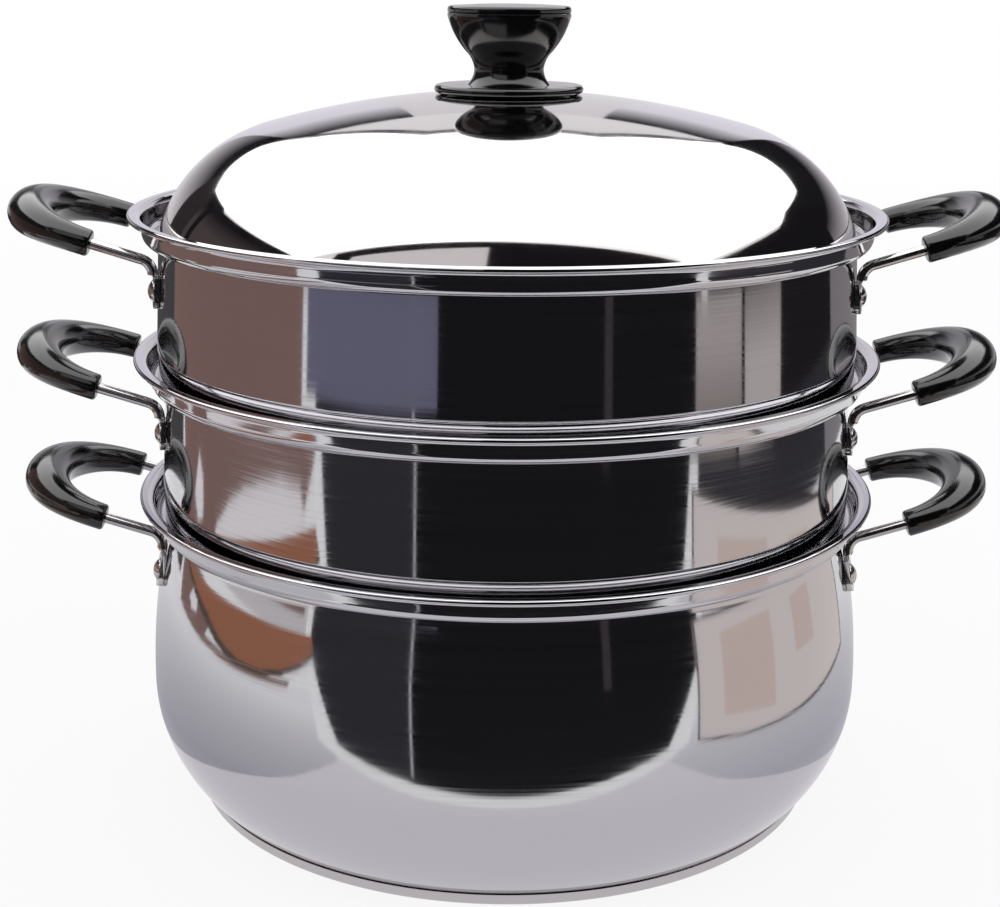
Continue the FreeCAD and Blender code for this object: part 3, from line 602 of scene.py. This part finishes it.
# %% Hairline stainless steel
HAIRLINE, HAIRLINE_RUN, WAVINESS = 0.8, 90.0, 45.0
HAIRLINE_DEPTH, WAVE_DEPTH = 0.1, 1.0
wall_steel, tree, shader = new_material("hairline_stainless")
coords = add_node(tree, "ShaderNodeTexCoord")
lines = add_node(tree, "ShaderNodeMapping", {
    "Vector": coords.outputs["Object"],
    "Scale": (per_mm(HAIRLINE_RUN), per_mm(HAIRLINE_RUN), per_mm(HAIRLINE)),
})
hair = add_node(tree, "ShaderNodeTexNoise", {"Vector": lines.outputs["Vector"], "Scale": 1.0, "Detail": 3.0})
wave = add_node(tree, "ShaderNodeTexNoise", {
    "Vector": coords.outputs["Object"], "Scale": per_mm(WAVINESS), "Detail": 1.0,
})
rough = add_node(tree, "ShaderNodeMapRange", {
    "Value": hair.outputs["Fac"], **NOISE_SPAN, "To Min": 0.04, "To Max": 0.1,
})
wave_bump = add_node(tree, "ShaderNodeBump", {
    "Height": wave.outputs["Fac"], "Strength": 0.06, "Distance": WAVE_DEPTH * MM,
})
hair_bump = add_node(tree, "ShaderNodeBump", {
    "Height": hair.outputs["Fac"], "Strength": 0.04, "Distance": HAIRLINE_DEPTH * MM,
    "Normal": wave_bump.outputs["Normal"],
})
round_wall = add_node(tree, "ShaderNodeTangent", direction_type="RADIAL", axis="Z")
shader.inputs["Base Color"].default_value = linear("C6C5C8")
shader.inputs["Metallic"].default_value = 1.0
shader.inputs["Anisotropic"].default_value = 0.5
shader.inputs["Anisotropic Rotation"].default_value = 0.25
tree.links.new(round_wall.outputs["Tangent"], shader.inputs["Tangent"])
tree.links.new(rough.outputs["Result"], shader.inputs["Roughness"])
tree.links.new(hair_bump.outputs["Normal"], shader.inputs["Normal"])
paint(wall_steel, pot_shell, *tier_shells)

# %% [markdown]
# ### Mirror-polished stainless steel
# The lid is buffed to a mirror. What tells it from chrome plate is a slight waviness of the sheet, a
# little haze from wiping, and a few pits that show as dark specks in a bright reflection.

# %% Mirror stainless steel
HAZE, LID_WAVE, PIT_SPACING = 30.0, 60.0, 22.0
lid_steel, tree, shader = new_material("mirror_stainless")
coords = add_node(tree, "ShaderNodeTexCoord")
haze = add_node(tree, "ShaderNodeTexNoise", {
    "Vector": coords.outputs["Object"], "Scale": per_mm(HAZE), "Detail": 6.0, "Roughness": 0.65,
})
rough = add_node(tree, "ShaderNodeMapRange", {
    "Value": haze.outputs["Fac"], "From Min": 0.35, "From Max": 0.75, "To Min": 0.035, "To Max": 0.09,
})
wave = add_node(tree, "ShaderNodeTexNoise", {
    "Vector": coords.outputs["Object"], "Scale": per_mm(LID_WAVE), "Detail": 0.0,
})
wave_bump = add_node(tree, "ShaderNodeBump", {
    "Height": wave.outputs["Fac"], "Strength": 0.05, "Distance": WAVE_DEPTH * MM,
})
pits = add_node(tree, "ShaderNodeTexVoronoi", {
    "Vector": coords.outputs["Object"], "Scale": per_mm(PIT_SPACING),
})
pit = add_node(tree, "ShaderNodeMapRange", {
    "Value": pits.outputs["Distance"], "From Min": 0.0, "From Max": 0.03, "To Min": 0.35, "To Max": 1.0,
})
tint = add_node(tree, "ShaderNodeMix", {
    0: pit.outputs["Result"], 6: linear("5A5553"), 7: linear("D3D0CE"),
}, data_type="RGBA")
shader.inputs["Metallic"].default_value = 1.0
tree.links.new(tint.outputs[2], shader.inputs["Base Color"])
tree.links.new(rough.outputs["Result"], shader.inputs["Roughness"])
tree.links.new(wave_bump.outputs["Normal"], shader.inputs["Normal"])
paint(lid_steel, lid_dome)

# %% [markdown]
# ### Black phenolic
# Grips and knob are pressed from phenolic resin in a polished mould. The resin is black all through and
# hard, so its gloss is clear, with a faint unevenness from the flow of the powder in the mould.

# %% Black phenolic
FLOW, FLOW_DEPTH, GLOSS_PATCH = 5.0, 0.2, 14.0
PHENOLIC_IOR = 1.6
phenolic, tree, shader = new_material("black_phenolic_moulding")
coords = add_node(tree, "ShaderNodeTexCoord")
flow = add_node(tree, "ShaderNodeTexNoise", {
    "Vector": coords.outputs["Object"], "Scale": per_mm(FLOW), "Detail": 2.0,
})
patch = add_node(tree, "ShaderNodeTexNoise", {
    "Vector": coords.outputs["Object"], "Scale": per_mm(GLOSS_PATCH), "Detail": 3.0,
})
rough = add_node(tree, "ShaderNodeMapRange", {
    "Value": patch.outputs["Fac"], **NOISE_SPAN, "To Min": 0.1, "To Max": 0.18,
})
flow_bump = add_node(tree, "ShaderNodeBump", {
    "Height": flow.outputs["Fac"], "Strength": 0.05, "Distance": FLOW_DEPTH * MM,
})
shader.inputs["Base Color"].default_value = linear("070708")
shader.inputs["IOR"].default_value = PHENOLIC_IOR
tree.links.new(rough.outputs["Result"], shader.inputs["Roughness"])
tree.links.new(flow_bump.outputs["Normal"], shader.inputs["Normal"])
paint(phenolic, knob_moulding, *grips)

# %% [markdown]
# ### Bright wire and fasteners
# The wire is drawn through a die and then polished, so it has faint scratches and a bright, slightly soft
# image. The rivets, the washer and the screw are of the same bright steel.

# %% Bright steel wire
SCRATCH = 3.0
wire_steel, tree, shader = new_material("bright_steel_wire")
coords = add_node(tree, "ShaderNodeTexCoord")
scratch = add_node(tree, "ShaderNodeTexNoise", {
    "Vector": coords.outputs["Object"], "Scale": per_mm(SCRATCH), "Detail": 5.0,
})
rough = add_node(tree, "ShaderNodeMapRange", {
    "Value": scratch.outputs["Fac"], **NOISE_SPAN, "To Min": 0.1, "To Max": 0.2,
})
shader.inputs["Base Color"].default_value = linear("C4C1BF")
shader.inputs["Metallic"].default_value = 1.0
tree.links.new(rough.outputs["Result"], shader.inputs["Roughness"])
paint(wire_steel, *rods, *rivets, *fasteners)

# %% [markdown]
# ### Plain steel sheet, aluminium and brass
# The cup under the base and the perforated floors are plain rolled sheet, with a soft satin grain. The
# disc in the base is pressed aluminium and the bush in the knob is turned brass. Both are hidden when the
# steamer is whole.

# %% Satin sheet, aluminium and brass
GRAIN, GRAIN_RUN = 0.8, 40.0


def satin_metal(name, code, low, high, scale):
    """A rolled, pressed or turned metal whose grain makes its gloss uneven."""
    material, tree, shader = new_material(name)
    coords = add_node(tree, "ShaderNodeTexCoord")
    stretch = add_node(tree, "ShaderNodeMapping", {"Vector": coords.outputs["Object"], "Scale": scale})
    grain = add_node(tree, "ShaderNodeTexNoise", {
        "Vector": stretch.outputs["Vector"], "Scale": 1.0, "Detail": 4.0,
    })
    rough = add_node(tree, "ShaderNodeMapRange", {
        "Value": grain.outputs["Fac"], **NOISE_SPAN, "To Min": low, "To Max": high,
    })
    shader.inputs["Base Color"].default_value = linear(code)
    shader.inputs["Metallic"].default_value = 1.0
    tree.links.new(rough.outputs["Result"], shader.inputs["Roughness"])
    return material


rolled = (per_mm(GRAIN_RUN), per_mm(GRAIN), per_mm(GRAIN))
turned = (per_mm(GRAIN_RUN), per_mm(GRAIN_RUN), per_mm(GRAIN))
paint(satin_metal("satin_stainless_cup", "C6C3C2", 0.16, 0.26, turned), base_cup)
paint(satin_metal("rolled_stainless_floor", "BDBAB8", 0.2, 0.34, rolled), *floors)
paint(satin_metal("pressed_aluminium", "D0D1D3", 0.3, 0.45, turned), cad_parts["pot_base_core"])
paint(satin_metal("turned_brass", "C9A45C", 0.2, 0.35, turned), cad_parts["knob_insert"])

# %% [markdown]
# ## Stage and light
# Polished steel has no colour of its own to show: it shows the room. A product photographer lights such a
# pot with one large soft panel overhead and stands cards round it, dark ones to draw edges and a warm one
# for depth. The cards here are seen only in reflections, so they are never in the way of the camera.

# %% Floor
FLOOR_SIZE, FLOOR_DROP = 12.0, 0.4
bpy.ops.object.select_all(action="DESELECT")
bpy.ops.mesh.primitive_plane_add(size=FLOOR_SIZE, location=(0, 0, -FLOOR_DROP * MM))
floor = bpy.context.object
floor.name = "floor"


def seen_directly(tree):
    """1 for the camera and for mirror and glass rays, and 0 for the light that the surface gives."""
    path = add_node(tree, "ShaderNodeLightPath")
    mirror = add_node(tree, "ShaderNodeMath", {
        0: path.outputs["Is Glossy Ray"], 1: path.outputs["Is Transmission Ray"],
    }, operation="MAXIMUM")
    return add_node(tree, "ShaderNodeMath", {
        0: path.outputs["Is Camera Ray"], 1: mirror.outputs["Value"],
    }, operation="MAXIMUM").outputs["Value"]


FLOOR_WHITE, SHADOW_REACH, FLOOR_FADE = 0.9, 0.3, 2.5
pale_floor, tree, shader = new_material("pale_floor")
shader.inputs["Base Color"].default_value = linear("C8C7C8")
shader.inputs["Roughness"].default_value = 0.9
white = add_node(tree, "ShaderNodeEmission", {"Color": (1, 1, 1, 1), "Strength": 1.0})
coords = add_node(tree, "ShaderNodeTexCoord")
away = add_node(tree, "ShaderNodeVectorMath", {0: coords.outputs["Object"]}, operation="LENGTH")
fade = add_node(tree, "ShaderNodeMapRange", {
    "Value": away.outputs["Value"], "From Min": SHADOW_REACH, "From Max": FLOOR_FADE, "To Min": FLOOR_WHITE,
})
share_white = add_node(tree, "ShaderNodeMath", {0: seen_directly(tree), 1: fade.outputs["Result"]},
                       operation="MULTIPLY")
blend = add_node(tree, "ShaderNodeMixShader", {
    0: share_white.outputs["Value"], 1: shader.outputs["BSDF"], 2: white.outputs["Emission"],
})
tree.links.new(blend.outputs["Shader"], tree.nodes["Material Output"].inputs["Surface"])
paint(pale_floor, floor)

# %% [markdown]
# ### World and panel
# The world is a white room: white where the camera and the mirrors see it, but weak as a light, so that the
# soft panel overhead does the lighting. The panel is as wide as its image on the lid asks for.

# %% World
WORLD_LIGHT = 0.35
world = bpy.data.worlds.new("white_room")
bpy.context.scene.world = world
world.use_nodes = True
tree = world.node_tree
strength = add_node(tree, "ShaderNodeMapRange", {
    "Value": seen_directly(tree), "To Min": WORLD_LIGHT, "To Max": 1.0,
})
room = tree.nodes["Background"]
room.inputs["Color"].default_value = (1, 1, 1, 1)
tree.links.new(strength.outputs["Result"], room.inputs["Strength"])
print("world light", WORLD_LIGHT)

# %% Overhead panel
PANEL_HEIGHT, PANEL_HALF_WIDTH, PANEL_FRONT, PANEL_BACK = 1.3, 2.0, -0.86, 2.3
PANEL_LEVEL, PANEL_TURN = 1.4, math.radians(-3)
bpy.ops.object.light_add(type="AREA", location=(0, (PANEL_FRONT + PANEL_BACK) / 2, PANEL_HEIGHT),
                         rotation=(0, 0, PANEL_TURN))
panel = bpy.context.object
panel.name = "overhead_panel"
panel.data.shape = "RECTANGLE"
panel.data.size = 2 * PANEL_HALF_WIDTH
panel.data.size_y = PANEL_BACK - PANEL_FRONT
panel.data.energy = PANEL_LEVEL * math.pi * panel.data.size * panel.data.size_y
panel.visible_camera = False
print("overhead panel", round(panel.data.energy, 1), "W")

# %% [markdown]
# ### Cards
# Each card is a flat outline of one plain tone, or of a tone that fades to another. It shines with its
# own tone, so the steel shows that tone whatever the light does, and only mirror rays find it.

# %% Cards that only reflections see


def card(name, corners, code, fade=None):
    """A flat card of one tone, or of a tone that fades to another upwards or away from the pot."""
    bpy.ops.object.select_all(action="DESELECT")
    bpy.ops.mesh.primitive_circle_add(vertices=len(corners), fill_type="NGON")
    piece = bpy.context.object
    piece.name = name
    for vert, corner in zip(piece.data.vertices, corners):
        vert.co = corner
    material = bpy.data.materials.new(name + "_tone")
    material.use_nodes = True
    tree = material.node_tree
    tree.nodes.remove(tree.nodes["Principled BSDF"])
    tone = add_node(tree, "ShaderNodeEmission", {"Color": linear(code), "Strength": 1.0})
    if fade:
        end_code, first, last = fade
        upright = corners[0][2] != corners[2][2]
        coords = add_node(tree, "ShaderNodeTexCoord")
        split = add_node(tree, "ShaderNodeSeparateXYZ", {"Vector": coords.outputs["Object"]})
        away = add_node(tree, "ShaderNodeVectorMath", {0: coords.outputs["Object"]}, operation="LENGTH")
        share = add_node(tree, "ShaderNodeMapRange", {
            "Value": split.outputs["Z"] if upright else away.outputs["Value"],
            "From Min": first, "From Max": last,
        })
        mixed = add_node(tree, "ShaderNodeMix", {
            0: share.outputs["Result"], 6: linear(code), 7: linear(end_code),
        }, data_type="RGBA")
        tree.links.new(mixed.outputs[2], tone.inputs["Color"])
    tree.links.new(tone.outputs["Emission"], tree.nodes["Material Output"].inputs["Surface"])
    piece.data.materials.append(material)
    for ray in ("camera", "diffuse", "transmission", "volume_scatter", "shadow"):
        setattr(piece, "visible_" + ray, False)


def wall_card(name, start, end, low, high, code, fade=None):
    """An upright card between two places on the floor."""
    card(name, [(*start, low), (*end, low), (*end, high), (*start, high)], code, fade)


LAYER = 0.001


def flat_card(name, places, code, height, fade=None):
    card(name, [(*place, height) for place in places], code, fade)


def floor_card(name, places, code, layer=1, fade=None):
    """A mat on the floor. A mat of a higher layer lies over the lower ones."""
    flat_card(name, places, code, layer * LAYER, fade)


def tapered(far_half, far, near_half, near):
    """Corners of a mat that narrows towards the pot."""
    return [(-far_half, far), (far_half, far), (near_half, near), (-near_half, near)]


# %% Sizes and tones of the room
FRONT, SIDE, BACK, HIGH_SIDE = -1.3, 2.1, 2.5, 2.04
CARD_EDGE, CARD_TOP, SIDE_FRONT, SIDE_BACK = 2.3, 2.0, -1.1, 1.7
BACK_EDGE, BACK_PART = 0.3, 0.75
WALL_FOOT, PALE_TOP = 0.15, 0.45
BLACK, DARK, DARK_GREY = "1A191C", "222022", "343338"
BROWN, ORANGE, BEIGE = "8A706A", "A36E55", "DDCBC2"
PALE, LILAC, STAND, CLOTH = "D6D2D4", "E6E3EE", "C8C6C8", "F6F2F4"
SHADE_END = ("F4F4F6", 0.2, 0.45)
print("room", 2 * SIDE, "m wide and", round(BACK - FRONT, 2), "m deep")

# %% [markdown]
# A black card stands behind the camera, and its mat runs along the floor towards the pot. Their edges
# draw the two upright borders that cross the walls. A pale glow stands high on the card and shows as a
# bar on the lid. The thin uprights are light stands. A cool grey card hangs close on the left, at the
# height of the upper tier. The grey mats round the foot are painted shadow: the pot's shade on the floor,
# as the steel reflects it, fading to pale away from the pot.

# %% Front of the room and the floor
GREY_EDGE, GLOW_FOOT, GLOW_TOP, STAND_TOP = -0.66, 0.8, 1.72, 0.9
COOL_FOOT, COOL_TOP = 0.148, 0.212
NEAR_HALF, MAT_HALF, MAT_END = 0.5, 0.22, -0.265
LEFT_STAND = [(-0.545, -1.075), (-0.533, -1.081)]
LEFT_SHADE = [(-0.185, -0.235), (-0.5, -0.4), (-0.5, 0.5), (-0.15, 0.5), (-0.16, 0.0), (-0.172, -0.12)]
RIGHT_SHADE = [(0.19, -0.235), (0.5, -0.4), (0.5, 0.5), (0.15, 0.5), (0.16, 0.0), (0.176, -0.12)]
on_front = FRONT + LAYER
wall_card("front_card", (-CARD_EDGE, FRONT), (CARD_EDGE, FRONT), 0, CARD_TOP, BLACK)
wall_card("front_glow", (-1.8, on_front), (-0.16, on_front), GLOW_FOOT, GLOW_TOP, "E6E2E6")
wall_card("front_left_card", (-CARD_EDGE, on_front), (GREY_EDGE, on_front), 0, GLOW_FOOT, DARK_GREY)
wall_card("cool_card", (-0.345, -0.257), (-0.131, -0.42), COOL_FOOT, COOL_TOP, "737287")
wall_card("cool_line", (-0.1605, -0.4045), (-0.1585, -0.406), COOL_FOOT, COOL_TOP, STAND)
wall_card("left_stand", *LEFT_STAND, 0, STAND_TOP, STAND)
wall_card("right_stand", (0.52, -0.98), (0.56, -0.96), 0, STAND_TOP, "453D42")
# Painted shadow: these grey mats round the foot stand for the pot's shade on the floor in the steel's
# reflection.
floor_card("painted_floor_shade", tapered(NEAR_HALF, -NEAR_HALF, NEAR_HALF, NEAR_HALF), "E4E2E7", 0.4, SHADE_END)
floor_card("left_shade", LEFT_SHADE, "B4B2BA", 0.5, SHADE_END)
floor_card("right_shade", RIGHT_SHADE, "C2C0C8", 0.5, SHADE_END)
floor_card("mat_border", tapered(2.45, FRONT, 0.245, -0.243), "FFFFFF", 0.7)
floor_card("front_mat", tapered(CARD_EDGE, FRONT, MAT_HALF, MAT_END), BLACK)
floor_card("front_left_mat", [(-CARD_EDGE, FRONT), (GREY_EDGE, FRONT), (-0.1, MAT_END), (-MAT_HALF, MAT_END)],
           DARK_GREY, 1.5)
floor_card("stand_line", [*LEFT_STAND, (-0.099, -0.275), (-0.102, -0.275)], STAND, 2)

# %% [markdown]
# A warm board with a dark edge stands close to the pot, which shows it as an orange patch. Brown cards
# bend round the tiers above it, and a brown mat with white cloths lies further out. The lid looks over
# all of these at the tall cards, which grow darker towards the panel.

# %% Left side
WARM_BOARD, WARM_EDGE = -0.24, -0.241
WARM_TOP = [(0.03, 0.097), (0.0, 0.095), (-0.05, 0.095), (-0.1, 0.0965), (-0.15, 0.0975), (-0.217, 0.1)]
WARM_FOOT = [(-0.222, 0.086), (-0.2, 0.073), (-0.17, 0.064), (-0.14, 0.06), (-0.105, 0.061), (-0.075, 0.068),
             (-0.05, 0.078), (-0.01, 0.089)]
EDGE_FOOT = [(-0.227, 0.083), (-0.203, 0.069), (-0.172, 0.059), (-0.14, 0.055), (-0.102, 0.056),
             (-0.068, 0.064), (-0.038, 0.075), (0.0, 0.087)]
BROWN_FOOT, BROWN_TOP = 0.118, 0.27
BROWN_CORNERS = [(-0.35, -0.248), (-0.41, -0.15), (-0.43, -0.05), (-0.42, 0.07), (-0.38, 0.18)]
LEFT_MAT = [(-0.48, -0.27), (-0.7, -0.4), (-0.9, -0.565), (-1.05, -0.64), (-1.05, 0.75), (-0.48, 0.2)]
LEFT_CLOTH = [(-0.525, 0.05), (-0.6, 0.055), (-0.7, 0.0), (-0.765, -0.08), (-0.8, -0.18), (-0.82, -0.3),
              (-0.77, -0.4), (-0.66, -0.385), (-0.525, -0.3)]
SMALL_CLOTH = [(-0.74, 0.25), (-0.68, 0.18), (-0.58, 0.13), (-0.55, 0.15), (-0.6, 0.21)]
card("warm_board", [(WARM_BOARD, *place) for place in WARM_TOP + WARM_FOOT], ORANGE)
card("warm_edge", [(WARM_EDGE, *place) for place in WARM_TOP + EDGE_FOOT], "5A504C")
for place, (start, end) in enumerate(zip(BROWN_CORNERS, BROWN_CORNERS[1:])):
    wall_card(f"brown_card_{place}", start, end, BROWN_FOOT, BROWN_TOP, BROWN)
wall_card("left_card", (-SIDE, SIDE_FRONT), (-SIDE, SIDE_BACK), 0, PALE_TOP, PALE)
wall_card("left_high_card", (-SIDE, SIDE_FRONT), (-HIGH_SIDE, SIDE_BACK), PALE_TOP, PANEL_HEIGHT, "4E4648",
          (BLACK, 0.9, 1.2))
wall_card("left_corner_card", (-HIGH_SIDE, 1.69), (-1.55, 2.0), 0.3, PANEL_HEIGHT, "322D30")
wall_card("left_line", (-1.1, 0.736), (-1.14, 0.68), 0, 0.78, BLACK)
floor_card("left_mat", LEFT_MAT, BROWN)
floor_card("left_cloth", LEFT_CLOTH, CLOTH, 2)
floor_card("small_cloth", SMALL_CLOTH, CLOTH, 2)
floor_card("back_left_mat", [(-0.55, 0.3), (-SIDE, SIDE_BACK), (-BACK_EDGE, BACK), (-0.25, 1.05)], "4B4A4C")

# %% [markdown]
# A pale board with two beige patches stands close to the pot, as the warm one does on the left. Two grey
# boards stand further out for the tiers, on a dark mat. The tall cards on this side are black, with a
# pale band below.

# %% Right side
PALE_BOARD, BOARD_TOP = 0.24, 0.145
PALE_OUTLINE = [(-0.22, 0.008), (0.05, 0.03), (0.05, 0.105), (-0.22, 0.117)]
PALE_EDGE = [(-0.224, 0.005), (0.054, 0.027), (0.054, 0.108), (-0.224, 0.12)]
NEAR_FRONT, NEAR_BACK, FAR_BACK = (0.64, -0.42), (0.64, 0.33), (SIDE, 1.3)
on_board = PALE_BOARD - LAYER
card("pale_board", [(PALE_BOARD, *place) for place in PALE_OUTLINE], "E6DDD9")
card("pale_edge", [(PALE_BOARD + LAYER, *place) for place in PALE_EDGE], "5B5857")
wall_card("beige_patch", (on_board, -0.178), (on_board, -0.1), 0.03, 0.1, BEIGE)
wall_card("small_patch", (on_board, -0.065), (on_board, -0.03), 0.06, 0.098, BEIGE)
wall_card("right_card", (SIDE, SIDE_FRONT), (SIDE, SIDE_BACK), 0, WALL_FOOT, DARK)
wall_card("right_pale_card", (SIDE, SIDE_FRONT), (SIDE, SIDE_BACK), WALL_FOOT, PALE_TOP, PALE)
wall_card("right_high_card", (HIGH_SIDE, SIDE_FRONT), (SIDE, SIDE_BACK), PALE_TOP, PANEL_HEIGHT, BLACK)
wall_card("grey_board", (0.86, -0.58), (0.94, -0.3), 0, BOARD_TOP, "8F8682", ("B9B0AE", 0.03, 0.1))
wall_card("light_board", (0.945, -0.28), (1.0, -0.02), 0, BOARD_TOP, "C9C1BE", ("8C8583", 0.08, BOARD_TOP))
floor_card("right_mat", [NEAR_FRONT, (SIDE, SIDE_FRONT), FAR_BACK, NEAR_BACK], DARK)
floor_card("right_near_mat", [NEAR_FRONT, (1.15, -0.67), (1.15, 0.67), NEAR_BACK], "38373C", 2)
floor_card("back_right_mat", [NEAR_BACK, FAR_BACK, (BACK_EDGE, BACK), (0.25, 1.05)], "8A8488")

# %% [markdown]
# The cards behind the pot go from pale at the floor to black below the panel. So the panel's image on the
# lid has a dark border, and the edge of the lid is pale. Flaps under the panel's far corners give that
# image its rounded outline, and a pale flap in the middle ends it in a soft band.

# %% Behind the pot
FLAP_HEIGHT, FLAP_STEP, FLAP_OUT, FLAP_BACK = PANEL_HEIGHT - 0.01, 0.004, 2.2, 2.6
MIDDLE_FLAP = [(-0.62, BACK), (0.7, BACK), (0.24, 1.76), (-0.22, 1.76)]
MIDDLE_EDGE = [(-0.68, BACK), (0.76, BACK), (0.25, 1.66), (-0.23, 1.66)]
LEFT_FLAP = [(-FLAP_OUT, 1.0), (-1.93, 1.1), (-1.82, 2.0), (-1.36, 2.45), (-1.3, FLAP_BACK),
             (-FLAP_OUT, FLAP_BACK)]
RIGHT_FLAP = [(FLAP_OUT, 0.45), (1.8, 0.95), (1.71, 1.72), (1.19, 1.97), (0.73, 2.2), (0.7, FLAP_BACK),
              (FLAP_OUT, FLAP_BACK)]
wall_card("back_left_card", (-SIDE, SIDE_BACK), (-BACK_PART, BACK), 0, PANEL_HEIGHT, "DAD6DC",
          (BLACK, 0.3, 1.1))
wall_card("back_right_card", (SIDE, SIDE_BACK), (BACK_PART, BACK), 0, PANEL_HEIGHT, "D8D2DA",
          (BLACK, 0.1, 0.8))
for side, name in ((-1, "back_left_lilac"), (1, "back_right_lilac")):
    wall_card(name, (side * BACK_PART, BACK), (side * BACK_EDGE, BACK), 0, PANEL_HEIGHT, LILAC,
              (BLACK, 0.85, 1.25))
wall_card("back_card", (-BACK_EDGE, BACK), (BACK_EDGE, BACK), 0, PANEL_HEIGHT, "E4E1E6")
flat_card("panel_flap", MIDDLE_FLAP, "F4F2F6", FLAP_HEIGHT - FLAP_STEP)
flat_card("flap_edge", MIDDLE_EDGE, "5E5963", FLAP_HEIGHT)
flat_card("left_flap", LEFT_FLAP, BLACK, FLAP_HEIGHT)
flat_card("right_flap", RIGHT_FLAP, BLACK, FLAP_HEIGHT)
